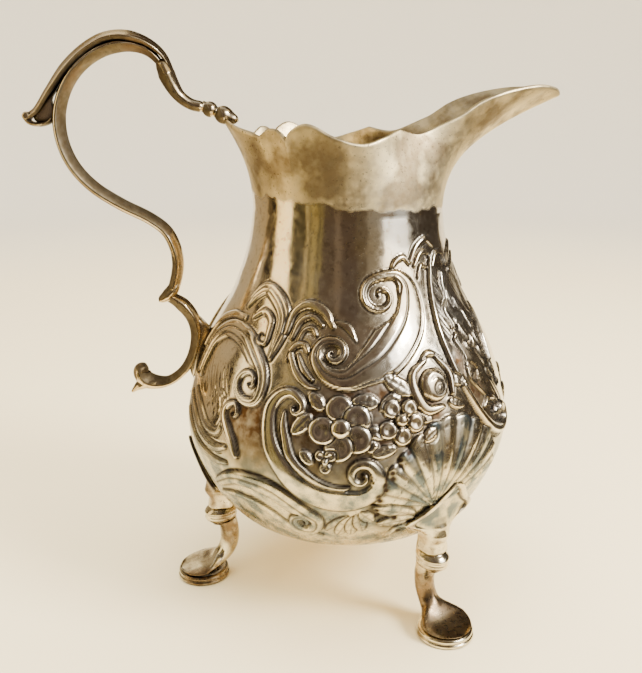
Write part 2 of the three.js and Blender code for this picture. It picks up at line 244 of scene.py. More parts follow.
class Chasing:
    """Heights, tarnish and painted shade over the chart, laid on piece by piece, the later ones on top."""

    def __init__(self, across, up):
        self.across, self.up = across, up
        self.height, self.dark, self.mat, self.blue = (np.zeros_like(across) for _ in range(4))

    def window(self, low, high):
        inside = (self.across > low[0]) & (self.across < high[0])
        return np.nonzero(inside & (self.up > low[1]) & (self.up < high[1]))

    def around(self, centre, reach):
        """The places near a centre, with their distances from it."""
        middle = chart([centre])[0]
        where = self.window(middle - reach, middle + reach)
        return where, np.hypot(self.across[where] - middle[0], self.up[where] - middle[1])

    def darken(self, where, amount):
        self.dark[where] = np.maximum(self.dark[where], amount)

    def nearest(self, path, reach):
        """The places within reach of a path, with their distance, signed offset and half width."""
        where = self.window(path[:, :2].min(0) - reach, path[:, :2].max(0) + reach)
        spots = np.stack([self.across[where], self.up[where]], 1)
        index = np.empty(len(spots), int)
        for start in range(0, len(spots), BLOCK):
            block = spots[start : start + BLOCK]
            gaps = ((block[:, None] - path[None, :, :2]) ** 2).sum(2)
            index[start : start + BLOCK] = gaps.argmin(1)
        away = spots - path[index, :2]
        along = np.gradient(path[:, :2], axis=0)[index]
        distance = np.hypot(*away.T)
        side = np.sign(along[:, 0] * away[:, 1] - along[:, 1] * away[:, 0])
        return where, distance, side * distance, np.maximum(path[index, 2], 0.12)

    def lay(self, where, cover, height, dark):
        self.height[where] += cover * (height - self.height[where])
        self.dark[where] += cover * (dark - self.dark[where])
        self.mat[where] *= 1 - cover
        self.blue[where] *= 1 - cover

    def outline(self, where, gap, shade=0.9):
        """The sharp chased line round a raised piece, and the shadow that collects beside it."""
        line = bell(gap, GROOVE)
        self.height[where] -= 0.16 * line
        beside = 0.32 * shade * np.where(gap > 0, np.exp(-gap / 0.8), 0)
        self.darken(where, np.maximum(line, beside))

    def band(self, points, lift=0.3, crown=0.5, grooves=(), depth=0.2, shade=0.9, **ends):
        """A raised rounded band through points, with grooves at places from -1 to 1 across it."""
        path = spine(points, **ends)
        where, distance, offset, half = self.nearest(path, path[:, 2].max() + 2)
        cover = smoothstep(half + EDGE, half - EDGE, distance)
        height = crowned(lift, crown, distance / half)
        dark = np.zeros_like(height)
        for share in grooves:
            line = bell(offset - share * half, GROOVE) * smoothstep(0.35, 0.9, half)
            height -= depth * line
            dark = np.maximum(dark, line)
        self.lay(where, cover, height, 0.85 * dark)
        self.outline(where, distance - half, shade=shade)

    def groove(self, points, depth=0.16, strength=0.9):
        """A chased line that fades at its two ends."""
        path = spine([(a, z, 1) for a, z in points])
        fade = np.minimum(np.arange(len(path)), np.arange(len(path))[::-1]) * SAMPLE
        path[:, 2] = 0.12 + smoothstep(0, 1.5, fade)
        where, distance, _, fading = self.nearest(path, 1)
        line = bell(distance, GROOVE) * np.minimum(fading, 1)
        self.height[where] -= depth * line
        self.darken(where, strength * line)

    def dome(self, centre, radius, lift, crown, hollow=0):
        """A round boss; hollow sinks its middle."""
        where, distance = self.around(centre, radius + 2)
        cover = smoothstep(radius + EDGE, radius - EDGE, distance)
        height = crowned(lift, crown, distance / radius)
        height -= hollow * bell(distance, radius * 0.5)
        self.lay(where, cover, height, 0)
        self.outline(where, distance - radius)

    def stud(self, centre, radius):
        """A small dark pit."""
        where, distance = self.around(centre, 3 * radius)
        pit = bell(distance, radius)
        self.height[where] -= 0.25 * pit
        self.darken(where, np.minimum(1.3 * pit, 1))

    def leaf(self, base, tip, width, lift=0.2, crown=0.35, veins=4):
        """A pointed leaf with a midrib and slanting side veins."""
        low, high = chart([base, tip])
        length = np.hypot(*(high - low))
        ahead = (high - low) / length
        where = self.window(np.minimum(low, high) - width - 1, np.maximum(low, high) + width + 1)
        away = np.stack([self.across[where], self.up[where]], 1) - low
        along = away @ ahead / length
        beside = ahead[0] * away[:, 1] - ahead[1] * away[:, 0]
        swell = np.clip(4 * along * (1 - along), 0, 1) ** 0.6
        half = np.maximum(width * swell, 0.05)
        inside = (along > 0) & (along < 1)
        gap = np.where(inside, np.abs(beside) - half, 9)
        cover = smoothstep(EDGE, -EDGE, gap)
        height = crowned(lift, crown, beside / half)
        midrib = bell(beside, GROOVE * 0.8)
        slant = np.cos(2 * math.pi * veins * (along - 0.35 * np.abs(beside) / length))
        side_veins = smoothstep(0.55, 1, slant) * 0.6
        lines = np.maximum(midrib, side_veins)
        self.lay(where, cover, height - 0.14 * lines, 0.7 * lines)
        self.outline(where, gap)

    def ground(self, centre, radius, shade):
        """A patch of matted ground, sunk a little, stained and shaded."""
        where, distance = self.around(centre, radius * 1.6)
        patch = smoothstep(radius * 1.5, radius * 0.6, distance)
        self.height[where] -= 0.1 * patch
        self.mat[where] = np.maximum(self.mat[where], patch)
        self.darken(where, shade * patch)


# Places are azimuth from the spout and height; a third number is the half width on the chart.
# Matted grounds as centre, radius and shade.
GROUNDS = [
    ((-133, 43), 5, 0.15), ((-130, 38.5), 5, 0.15), ((-128, 45.5), 2.5, 0.1), ((-109, 45), 5, 0.5),
    ((-105, 40), 5, 0.5), ((-98, 38), 3.5, 0.5), ((-87, 43), 3.5, 0.5), ((-101, 50), 3.5, 0.4),
    ((-90, 50), 3.5, 0.4), ((-77, 49), 4, 0.4), ((-70, 47), 3, 0.4), ((-51, 54), 2.5, 0.3),
    ((-47, 48), 2.5, 0.3), ((-83, 26.5), 3, 0.7), ((-88, 29.5), 2.2, 0.7),
]
TOP_SCROLL = [
    (-84.5, 69, 1.2), (-75, 69.3, 1.5), (-70, 67.6, 2.6), (-70, 65, 4.1), (-73, 61.8, 4.8),
    (-80, 58.5, 4.7), (-86, 56.2, 4.2), (-93, 54.4, 3.1), (-99, 53, 2.2), (-105, 53.5, 1.7),
    (-109, 55.3, 1.5),
]
FLOWER_SCROLL = [
    (-114, 49.4, 0.8), (-117, 50.4, 0.9), (-121, 49.9, 1.1), (-124, 47.9, 1.3), (-124.5, 44.6, 1.4),
    (-123, 41.3, 1.5), (-119, 37.6, 1.7), (-114, 34.5, 2), (-108, 32.4, 2.3), (-101, 31.6, 2.4),
    (-94, 32.2, 2.1), (-90, 34, 1.7), (-89, 36.4, 1.3), (-91, 38.6, 1),
]
FLOWER_SCROLL_INNER = [
    (-119, 47, 0.4), (-119, 45, 0.7), (-118, 42.8, 0.8), (-116, 39.5, 0.9), (-112, 37.1, 0.9),
    (-107, 35.2, 0.8), (-102, 34.3, 0.7), (-98, 34.6, 0.3),
]
LOW_SCROLL = [
    (-149, 29.6, 1), (-138, 32.7, 1.5), (-129, 33.1, 1.7), (-123, 32.3, 1.9), (-118, 30.4, 2),
    (-113, 28.2, 1.9), (-109, 26.5, 1.6), (-110.5, 24.2, 1.3),
]
LOW_SCROLL_UNDER = [
    (-150, 27, 0.4), (-141, 28.3, 0.7), (-132, 28.2, 0.9), (-126, 26.7, 1), (-121, 24.5, 1),
    (-115, 22.7, 1.1), (-108, 22.3, 0.6),
]
HANDLE_SCROLL = [
    (-166, 49, 1.2), (-165, 52.2, 1.8), (-163, 55.6, 2.1), (-155, 58.1, 2.2), (-143, 57.6, 2.3),
    (-135, 55.2, 2), (-130, 52.7, 1.6), (-129, 50.3, 1.3), (-130.5, 48, 1),
]
HANDLE_SCROLL_UPPER = [
    (-173, 53, 0.5), (-172, 55, 0.7), (-169, 58.2, 1), (-159, 60.3, 1.1), (-148, 60.5, 0.8),
]
PLUME = [
    (-150, 62.5, 0.8), (-146, 64.8, 1.4), (-140, 66.2, 1.8), (-132, 64.7, 2.1), (-127, 62.3, 1.8),
    (-126, 59.8, 1.5), (-127, 57.3, 1.1), (-128, 55.2, 0.5),
]
PLUME_CURL = [
    (-143, 61, 0.5), (-138, 62.3, 0.8), (-133, 61.2, 0.9), (-132, 59.1, 0.8), (-132, 57.3, 0.5),
]
CREST_ARCS = [
    [(-124, 59.5, 0.6), (-122, 63.1, 1), (-116, 64.4, 1.2), (-109, 63.4, 1.2), (-104.5, 61, 0.6)],
    [(-121, 58.8, 0.5), (-118.5, 61.6, 0.8), (-114, 62.4, 0.8), (-109, 61.1, 0.5)],
    [(-118.5, 58, 0.4), (-116, 60.3, 0.6), (-113, 60.6, 0.6), (-111, 59.6, 0.4)],
    [(-121, 55.5, 0.5), (-119, 57.6, 0.8), (-115.5, 58, 0.7), (-113, 56.8, 0.4)],
]
CREST_TAILS = [
    [(-120, 56.3, 0.6), (-116.5, 53.6, 0.8), (-112, 51.8, 0.6), (-108, 51.4, 0.2)],
    [(-117, 56.3, 0.4), (-114, 54.1, 0.6), (-110.5, 52.6, 0.3)],
]
DARK_LEAF = [(-104, 61.9, 0.3), (-98.5, 61, 0.9), (-95, 58.8, 0.3)]
TOP_CRESTS = [
    [(-77, 69.6, 0.5), (-74, 71.4, 0.8), (-68.5, 72.1, 0.8), (-66, 70.8, 0.4)],
    [(-65, 71.2, 0.6), (-59, 73.7, 1), (-51, 74.8, 1), (-46, 73.3, 0.5)],
    [(-63, 70.4, 0.5), (-56, 72.6, 0.9), (-51, 72.2, 0.7), (-52.5, 69.7, 0.4)],
    [(-62, 68.4, 0.4), (-58, 70.4, 0.6), (-54.5, 69.9, 0.5)],
    [(-50, 69.8, 0.4), (-44, 72, 0.7), (-37.8, 71.8, 0.7), (-35.5, 69.4, 0.4)],
]
CARTOUCHE = [
    (-51, 71.6, 0.4), (-53, 69.4, 0.55), (-55, 67, 0.6), (-57, 62.4, 0.65), (-58.4, 57.5, 0.65),
    (-56.8, 52.4, 0.65), (-53.2, 48.4, 0.7), (-48, 43.9, 0.8), (-41.2, 40.2, 1), (-33, 38.7, 1),
    (-28.5, 39.8, 0.8),
]
# The left, right, lower and upper limits of the lined ground inside the border.
CARTOUCHE_FIELD = [
    [(-32, 39), (-51, 49), (-57, 59), (-53, 67), (-50, 75)],
    [
        (-22, 41), (-28, 46.4), (-29.5, 50.8), (-26.5, 55.6),
        (-20.5, 58.6), (-14, 61.5), (-4, 66), (-2, 75),
    ],
    [(-60, 38), (-34, 41.5), (0, 41.5)],
    [(-60, 70), (-48, 70.5), (-36, 69.4), (-24, 70.6), (-12, 71.6), (0, 72)],
]
CARTOUCHE_LINES = [
    [(-35.5, 69.4, 0.5), (-27, 71.2, 0.8), (-17, 72.6, 0.8), (-7, 72.4, 0.7), (0, 70.8, 0.4)],
    [(-33, 68.4, 0.3), (-24, 69.8, 0.5), (-15, 70.8, 0.5), (-8, 70, 0.3)],
    [
        (-43, 68.5, 0.3), (-45.2, 66, 0.5), (-44.9, 64.1, 0.4),
        (-49.6, 62, 0.6), (-48, 59.2, 0.4), (-51.2, 57, 0.6),
    ],
    [(-51.2, 57, 0.6), (-49, 54, 0.4), (-49.9, 51, 0.6), (-46.6, 48.6, 0.5), (-43, 46.6, 0.3)],
    [(-16, 61, 0.2), (-21, 58.6, 0.45), (-27, 55.6, 0.5), (-30, 50.8, 0.5), (-28.6, 46.4, 0.3)],
]
CARTOUCHE_CURLS = [
    ([(-50, 58.6, 0.3), (-45.5, 59, 0.45), (-41.5, 57.6, 0.5)], (-43.8, 56.1), -1.1),
    ([(-50, 52.6, 0.3), (-47.5, 53.2, 0.4), (-44.8, 52.3, 0.45)], (-47, 50.7), -0.9),
    ([(-45, 44.6, 0.3), (-41.5, 45.6, 0.45), (-37.5, 45.2, 0.5)], (-38.6, 43.3), -0.8),
]
FLOWERS = [
    ((-100.5, 45.1), 1.6, [(-101, 48.3), (-95.3, 46.6), (-95.3, 43.2), (-101, 41.8), (-106.2, 44.6)], 2),
    ((-81, 46.1), 1.1, [(-84, 48), (-78, 47.9), (-76.4, 45.3), (-81, 43.3), (-85.6, 44.6)], 1.35),
    ((-105, 39.4), 0.6, [(-106.5, 40.4), (-103.5, 40.4), (-105, 38.2)], 0.85),
]
LEAVES = [
    ((-97, 49.6), (-88, 49.2), 1.5), ((-88, 48), (-80, 50.6), 1.3), ((-76, 50), (-86, 53.3), 1.6),
    ((-110, 47.2), (-116, 43.6), 1.4), ((-106, 48), (-111, 50.6), 1.3),
    ((-92, 45), (-86.5, 43.4), 1.2), ((-94, 42.6), (-88, 41.2), 1.1),
    ((-91, 40.4), (-83, 41.6), 1.1), ((-77, 46.6), (-70, 45.4), 1.1), ((-74, 42), (-69, 43.8), 1.2),
    ((-113, 41), (-109, 38.6), 1), ((-63, 48), (-56, 46.4), 1.1), ((-61, 52), (-55, 50), 1),
]
ROSE = (-67.5, 51.1)
ROSE_RADIUS = 3
ROSE_PETALS = [
    [(-72, 54.7, 0.4), (-67, 56.1, 0.7), (-61.5, 54.8, 0.4)],
    [(-64.5, 55.3, 0.4), (-59.8, 52.4, 0.8), (-60.4, 49, 0.5)],
    [(-69, 55.2, 0.4), (-75.2, 53.2, 0.8), (-75, 50.1, 1), (-71.4, 47.2, 1), (-65.2, 47.2, 0.5)],
]
ROSE_FOLDS = [
    [(-71.5, 52.4), (-68, 53.5), (-64, 52.5), (-62.6, 50)],
    [(-70.5, 51.4), (-67.4, 52.4), (-64.6, 51.5), (-63.8, 49.4)],
    [(-72, 50.6), (-70.5, 49), (-68, 48.4)],
]
SHELL_APEX = (-68, 28.5)
SHELL_EDGE = [
    (-91, 31), (-87, 34.6), (-85, 37.5), (-80, 40.4), (-74, 43.4), (-68, 44.8), (-60, 44.8),
    (-51, 43.1), (-45, 40), (-40, 35), (-39, 31),
]
SHELL_RIBS = 12
SMALL_FAN = [
    ((-97, 28), (-106, 24)), ((-97, 28), (-102, 22.8)), ((-96, 28), (-97, 23)),
    ((-95, 28.5), (-92.5, 24)), ((-94, 29), (-89, 26.5)),
]
BROAD_LEAF = [((-74, 27.5), (-90, 30)), ((-74, 26.5), (-88, 26)), ((-74, 25), (-82, 22.5))]


def chase_scrolls(work):
    work.band(LOW_SCROLL_UNDER, lift=0.15, crown=0.3)
    work.band(LOW_SCROLL, tail=((-113.5, 26), -1.1), grooves=(0.1,), depth=0.24)
    work.band(HANDLE_SCROLL_UPPER, lift=0.2, crown=0.3)
    work.band(HANDLE_SCROLL, tail=((-134.5, 50.6), -1.2), grooves=(-0.5, 0.15), depth=0.3, shade=1.3)
    work.band(PLUME_CURL, tail=((-134.5, 58.5), -0.6), crown=0.3)
    work.band(PLUME, grooves=(-0.4, 0.25), lift=0.25, depth=0.28, shade=1.3)
    for arc in CREST_ARCS + CREST_TAILS:
        work.band(arc, lift=0.2, crown=0.3)
    work.band(DARK_LEAF, lift=0.05, crown=0.15)
    work.band(FLOWER_SCROLL_INNER, lift=0.2, crown=0.3)
    ends = {"head": ((-115.5, 48), -0.9), "tail": ((-94, 36.8), 1.15)}
    work.band(FLOWER_SCROLL, crown=0.45, grooves=(-0.78,), depth=0.1, **ends)
    ends = {"head": ((-83.5, 65.9), 1.3), "tail": ((-104, 56.9), -1.35)}
    work.band(TOP_SCROLL, lift=0.4, crown=0.4, grooves=(-0.62, -0.05, 0.82), depth=0.26, **ends)


def chase_cartouche(work, seed=3):
    """The border under the spout, the lines and curls inside it, and the leaf that closes its foot."""
    chance = np.random.default_rng(seed)
    low, high = chart([(-60, 38), (0, 76)])
    where = work.window(low, high)
    x, y = work.across[where], work.up[where]
    left, right, foot, top = (chart(side).T for side in CARTOUCHE_FIELD)
    inside = smoothstep(0, 1.2, x - np.interp(y, left[1], left[0]))
    inside *= smoothstep(0, 1.5, np.interp(y, right[1], right[0]) - x)
    inside *= smoothstep(0, 1.5, y - np.interp(x, foot[0], foot[1]))
    inside *= smoothstep(0, 1.5, np.interp(x, top[0], top[1]) - y)
    wave = np.sin(0.5 * y + 0.3 * x) + 0.6 * np.sin(0.23 * y - 0.5 * x)
    hair = np.sin((0.83 * x + 0.56 * y + 0.5 * wave) * 2 * math.pi / 0.8)
    fold = np.sin((0.9 * x + 0.43 * y + wave) * 2 * math.pi / 5)
    work.height[where] += inside * (0.045 * hair + 0.1 * fold)
    shade = 0.3 + 0.12 * smoothstep(0, -1, hair) + 0.2 * smoothstep(0.2, -1, fold)
    work.darken(where, inside * shade)
    for line in CARTOUCHE_LINES:
        work.band(line, lift=0.15, crown=0.4, shade=0.6)
    for points, eye, turns in CARTOUCHE_CURLS:
        work.band(points, tail=(eye, turns), lift=0.15, crown=0.4, shade=0.6)
    for azimuth, height in zip(chance.uniform(-46, -26, 14), chance.uniform(45, 66, 14)):
        tip = (azimuth + chance.uniform(1, 4), height - chance.uniform(2.5, 4))
        work.leaf((azimuth, height), tip, chance.uniform(0.5, 0.9), 0.05, 0.25, veins=1)
    for tip in ((-8, 63), (8, 63), (0, 59)):
        work.leaf((0, 70.5), tip, 1.3, 0.15, 0.4, veins=3)
    for tip in ((-14, 44), (-9, 47.5), (0, 50), (9, 47.5), (14, 44)):
        work.leaf((0, 36.5), tip, 1.7, 0.2, 0.45, veins=4)
    work.dome((0, 37), 1.3, lift=0.3, crown=0.5)
    for crest in TOP_CRESTS:
        work.band(crest, lift=0.2, crown=0.4)
    work.band(CARTOUCHE, tail=((-33.5, 41.4), 0.6), lift=0.35, crown=0.6, shade=1.2)


def chase_flower(work, centre, eye_radius, petals, petal_radius):
    for petal in petals:
        work.dome(petal, 1.2 * petal_radius, lift=0.2, crown=0.62, hollow=0.45)
        middle = tuple(np.average([centre, petal], axis=0, weights=(0.55, 0.45)))
        work.groove([centre, middle, petal], depth=0.12, strength=0.6)
    work.dome(centre, eye_radius, lift=0.4, crown=0.7)


def chase_rose(work):
    for petal in ROSE_PETALS:
        work.band(petal, lift=0.15, crown=0.5)
    work.dome(ROSE, ROSE_RADIUS, lift=0.3, crown=0.9)
    for fold in ROSE_FOLDS:
        work.groove(fold, depth=0.2)
    eye = chart([(-66.2, 50.3)])[0]
    angles = np.linspace(0, 4.4 * math.pi, 40)
    out = np.linspace(1.35, 0.25, len(angles))
    x, y = eye[0] + out * np.cos(angles), eye[1] + out * np.sin(angles)
    where, distance, _, _ = work.nearest(spline(np.stack([x, y, out], 1), 240), 1)
    line = bell(distance, GROOVE)
    work.height[where] -= 0.2 * line
    work.darken(where, line)


def chase_shell(work):
    """The ribbed shell over a leg, in polar form round its hinge."""
    apex = chart([SHELL_APEX])[0]
    edge = chart(SHELL_EDGE) - apex
    bearings, reaches = np.arctan2(edge[:, 1], edge[:, 0]), np.hypot(*edge.T)
    order = np.argsort(bearings)
    where, distance = work.around(SHELL_APEX, 18)
    bearing = np.arctan2(work.up[where] - apex[1], work.across[where] - apex[0])
    first, last = bearings.min(), bearings.max()
    share = (bearing - first) / (last - first)
    scallop = 1 + 0.035 * np.abs(np.sin(math.pi * SHELL_RIBS * share))
    limit = np.interp(bearing, bearings[order], reaches[order]) * scallop
    inside = (share > 0) & (share < 1)
    gap = np.where(inside, distance - limit, 9)
    cover = smoothstep(EDGE, -EDGE, gap)
    furrow = np.abs(np.cos(math.pi * SHELL_RIBS * share))
    rib = 0.27 * (1 - furrow**3)
    crease = furrow**14
    fine = 0.5 + 0.5 * np.cos(2 * math.pi * SHELL_RIBS * 3 * share)
    dots = bell((distance / limit) % 0.2 - 0.1, 0.014) * (fine > 0.6) * (distance > 0.35 * limit)
    height = 0.25 + rib - 0.035 * fine - 0.06 * dots
    work.lay(where, cover, height, np.maximum(0.8 * crease, 0.8 * dots))
    stripe = 0.35 + 1.3 * smoothstep(0, 0.8, np.sin(math.pi * SHELL_RIBS * share + 0.7))
    work.blue[where] = np.maximum(work.blue[where], cover * stripe)
    work.outline(where, gap)


def chase_small_fans(work):
    """The little ribbed fan and the three lobes of the broad leaf under the shell."""
    for base, tip in SMALL_FAN:
        work.leaf(base, tip, 1.3, 0.1, 0.25, veins=3)
    for base, tip in BROAD_LEAF:
        work.leaf(base, tip, 1.5, 0.2, 0.35, veins=5)


def chase_shell_edge(work):
    """The dark pits along the shell's left edge and in the leaf below it."""
    for azimuth, height in ((-88, 27.8), (-85, 25), (-82, 27.2), (-79, 23.5), (-76, 25.8)):
        work.stud((azimuth, height), 0.7)
    for step in range(12):
        share = step / 11
        azimuth, height = -89.5 + 11 * share**1.5, 29.5 + 12 * share
        work.stud((azimuth + 0.7 * (-1) ** step, height), 0.6)


HANDLE_SIDE_LEAF = [
    (-135.8, 37.4, 0.5), (-137.8, 39.5, 0.9), (-141, 42, 1), (-143, 44.1, 0.9), (-142.2, 45.8, 0.7),
    (-138.6, 46.7, 0.5),
]
HANDLE_SIDE_WAVES = [
    [(-172, 40.5, 0.5), (-165, 38, 0.9), (-157, 35.6, 1), (-148, 34.8, 0.8), (-141, 35.2, 0.4)],
    [(-172, 44, 0.5), (-165, 41.6, 1), (-156, 38.4, 1.1), (-147, 37.4, 0.9), (-141.5, 38.2, 0.5)],
    [(-166, 45.6, 0.5), (-160, 43.4, 0.9), (-152.5, 40.6, 1), (-146, 40.6, 0.7), (-144, 42.6, 0.4)],
]


def chase_handle_side(work, seed=7):
    """The fine hair and waves between the handle and the scrolls, and the leaf beside them."""
    chance = np.random.default_rng(seed)
    for start in np.arange(-180, -146, 1.7):
        azimuth = start + chance.uniform(-0.5, 0.5)
        height = 54.5 - 0.08 * (start + 180) + chance.uniform(-1.5, 1)
        foot = height - 6 - chance.uniform(0, 2)
        path = [(azimuth, height), (azimuth + 2, height - 3), (azimuth + 6, foot)]
        work.groove(path, depth=chance.uniform(0.04, 0.1), strength=0.5)
    for wave in HANDLE_SIDE_WAVES:
        work.band(wave, lift=0.1, crown=0.3, grooves=(-0.4, 0.2), depth=0.1, shade=0.5)
    for azimuth, height in zip(chance.uniform(-153, -144.5, 22), chance.uniform(44.5, 48.6, 22)):
        lean, fall = chance.uniform(-2.5, 2.5), chance.uniform(0.4, 1.4)
        steps = ((0, 0), (lean, fall / 2), (lean / 3, fall))
        work.groove([(azimuth + across, height - down) for across, down in steps])
    work.band(HANDLE_SIDE_LEAF, tail=((-139.6, 44.9), -0.6), lift=0.25, crown=0.45)


def blurred(layer, reach):
    """A layer averaged over its neighbours, out to reach steps."""
    steps = np.arange(-reach, reach + 1)
    weights = bell(steps, reach / 2)
    for axis in (0, 1):
        padded = np.pad(layer, [(reach, reach) if a == axis else (0, 0) for a in (0, 1)], mode="edge")
        size = layer.shape[axis]
        starts = zip(weights, steps + reach)
        layer = sum(w * np.take(padded, range(s, s + size), axis=axis) for w, s in starts)
        layer /= weights.sum()
    return layer


def chased_side(across, up):
    work = Chasing(across, up)
    for centre, radius, shade in GROUNDS:
        work.ground(centre, radius, shade)
    chase_handle_side(work)
    chase_cartouche(work)
    chase_shell(work)
    chase_small_fans(work)
    chase_scrolls(work)
    for base, tip, width in LEAVES:
        work.leaf(base, tip, width)
    for centre, eye_radius, petals, petal_radius in FLOWERS:
        chase_flower(work, centre, eye_radius, petals, petal_radius)
    chase_rose(work)
    chase_shell_edge(work)
    hollow = smoothstep(0.03, 0.3, blurred(work.height, 7) - work.height)
    work.dark = np.maximum(work.dark, 0.6 * hollow)
    low_belly = smoothstep(chart([(0, 44)])[0, 1], chart([(0, 32)])[0, 1], up)
    work.blue = np.maximum(work.blue, 1.05 * low_belly)
    return work


# Meshes.


def place(points):
    """Metres in the model's frame from millimetres round the jug's own axis."""
    points = np.asarray(points, float) * MM
    points[..., 0] += AXIS_X
    return points


def grid_faces(rows, columns, closed=True):
    """Quads between neighbouring rows of points, facing out of a grid whose columns go round."""
    spans = np.arange(columns if closed else columns - 1)
    row, column = np.meshgrid(np.arange(rows - 1), spans, indexing="ij")
    following = (column + 1) % columns
    here, beside = row * columns + column, row * columns + following
    return np.stack([here, beside, beside + columns, here + columns], -1).reshape(-1, 4)


def add_mesh(name, points, faces, material):
    mesh = bpy.data.meshes.new(name)
    mesh.from_pydata(points, [], faces)
    mesh.validate()
    mesh.shade_smooth()
    mesh.materials.append(material)
    piece = bpy.data.objects.new(name, mesh)
    bpy.context.scene.collection.objects.link(piece)
    return piece


def read(items, name, kind=int, width=1):
    """One value, or width of them, for each item of a mesh."""
    values = np.empty(len(items) * width, kind)
    items.foreach_get(name, values)
    return values


def with_ends(values, end=0):
    """A piece's values, with one more for the middle of each end."""
    return np.append(values, [end, end])


def point_values(mesh, values):
    for name, value in values.items():
        attribute = mesh.attributes.new(name, "FLOAT", "POINT")
        attribute.data.foreach_set("value", np.asarray(value, np.float32).ravel())


# Brown patches on the neck's film: azimuth, height, reach and strength.
STAINS = [
    (-108, 89.5, 4, 0.85), (-116, 84, 4, 0.6), (-130, 88, 7, 0.55), (-62, 88.5, 4.5, 1.1),
    (-70, 83, 3.5, 0.8), (-38, 90, 5, 0.6), (-48, 85, 5, 0.55), (-16, 95, 6, 0.6),
    (-150, 88, 5, 0.6), (-172, 92, 4, 0.5),
]
FILM_EDGE = (-150, -60), (82.2, 80)
# Millimetres of the neck's surface to the degree.
NECK_DEGREE = 0.34
RIM_ROWS = 5
INNER_STEP = 4
INNER_RELIEF = 0.8
STIPPLE_DEPTH = 0.025
# How much of each mark shows through to the inside.
INNER_SHARES = {"dark": 0.3, "mat": 0.3, "blue": 0}


def make_body(material, seed=11):
    outside, first, last = plain_outside()
    normals = normals_of(outside)
    rows = len(outside)
    radius = np.hypot(outside[first:last, 0, 0], outside[first:last, 0, 1])
    heights = outside[first:last, 0, 2]
    across = -CHART_RADIUS * np.linspace(0, math.pi, HALF + 1)
    up = np.interp(heights, profile[:, 1], chart_rise)
    work = chased_side(*np.meshgrid(across, up))

    chance = np.random.default_rng(seed)
    stipple = chance.standard_normal(work.height.shape)
    stipple = (stipple + np.roll(stipple, 1, 0) + np.roll(stipple, 1, 1)) / 3
    relief = work.height + STIPPLE_DEPTH * stipple * np.clip(work.mat, 0, 1)
    relief *= (radius / CHART_RADIUS)[:, None] ** 0.5

    both_sides = np.concatenate([np.arange(HALF + 1), np.arange(HALF - 1, 0, -1)])
    layers = {"relief": relief, "dark": work.dark, "mat": work.mat, "blue": work.blue}
    for name, layer in layers.items():
        layers[name] = np.zeros((rows, COLUMNS))
        layers[name][first:last] = layer[:, both_sides]
    above, below = np.arange(rows) - first, last - np.arange(rows)
    fade = smoothstep(0, FADE_ROWS, above) * smoothstep(0, FADE_ROWS, below)
    layers["relief"] *= fade[:, None]

    raised = outside + normals * layers["relief"][..., None]
    inside = outside + normals * (INNER_RELIEF * layers["relief"][..., None] - WALL)
    inner_rows = np.arange(rows - 1, 0, -INNER_STEP)
    rim = []
    for step in range(1, RIM_ROWS + 1):
        turn = math.pi * step / (RIM_ROWS + 1)
        middle = (raised[-1] + inside[-1]) / 2
        lean = (raised[-1] - inside[-1]) / 2
        rise = raised[-1] - raised[-2]
        rise /= np.linalg.norm(rise, axis=1, keepdims=True)
        rim.append(middle + lean * math.cos(turn) + rise * (WALL / 2) * math.sin(turn))
    grid = np.concatenate([raised, np.array(rim), inside[inner_rows]])

    floor = BODY_PROFILE[0][1]
    body = add_skins("chased_body", [grid], material, [(0, 0, floor), (0, 0, floor + WALL)])

    def spread(layer, inner):
        rim_values = np.zeros((RIM_ROWS, COLUMNS))
        return with_ends(np.concatenate([layer, rim_values, inner * layer[inner_rows]]))

    around = np.degrees(np.arctan2(-np.abs(grid[..., 1]), grid[..., 0]))
    film = smoothstep(-2, 2, grid[..., 2] - np.interp(around, *FILM_EDGE))
    stain_and_dark_reflection = np.zeros_like(film)
    for azimuth, height, reach, strength in STAINS:
        gap = np.hypot((around - azimuth) * NECK_DEGREE, grid[..., 2] - height)
        stain_and_dark_reflection = np.maximum(stain_and_dark_reflection, strength * bell(gap, reach))
    values = {name: spread(layers[name], inner) for name, inner in INNER_SHARES.items()}
    values |= {"film": with_ends(film), "stain_and_dark_reflection": with_ends(stain_and_dark_reflection)}
    point_values(body.data, values)
    bake_chart(body.data, len(grid))
    return body


def bake_chart(mesh, total):
    """One flat chart for the body: round it one way, and up the outside then down the inside."""
    corner = read(mesh.loops, "vertex_index")
    faces = len(mesh.polygons)
    owner = np.repeat(np.arange(faces), read(mesh.polygons, "loop_total"))
    row, column = np.divmod(corner, COLUMNS)
    is_middle = corner >= total * COLUMNS
    row = np.where(is_middle, np.where(corner == total * COLUMNS, 0, total - 1), row)
    widest = np.zeros(faces, int)
    np.maximum.at(widest, owner, np.where(is_middle, 0, column))
    wrapped = (widest[owner] == COLUMNS - 1) & (column == 0) & ~is_middle
    column = np.where(wrapped, COLUMNS, column)
    column = np.where(is_middle, widest[owner], column)
    chart_places = np.stack([column / COLUMNS, (row + is_middle * 0.5) / total], 1)
    layer = mesh.uv_layers.new(name="OFBake")
    layer.data.foreach_set("uv", chart_places.astype(np.float32).ravel())


# The handle: straps swept along its scrolls in the plane through the spout.

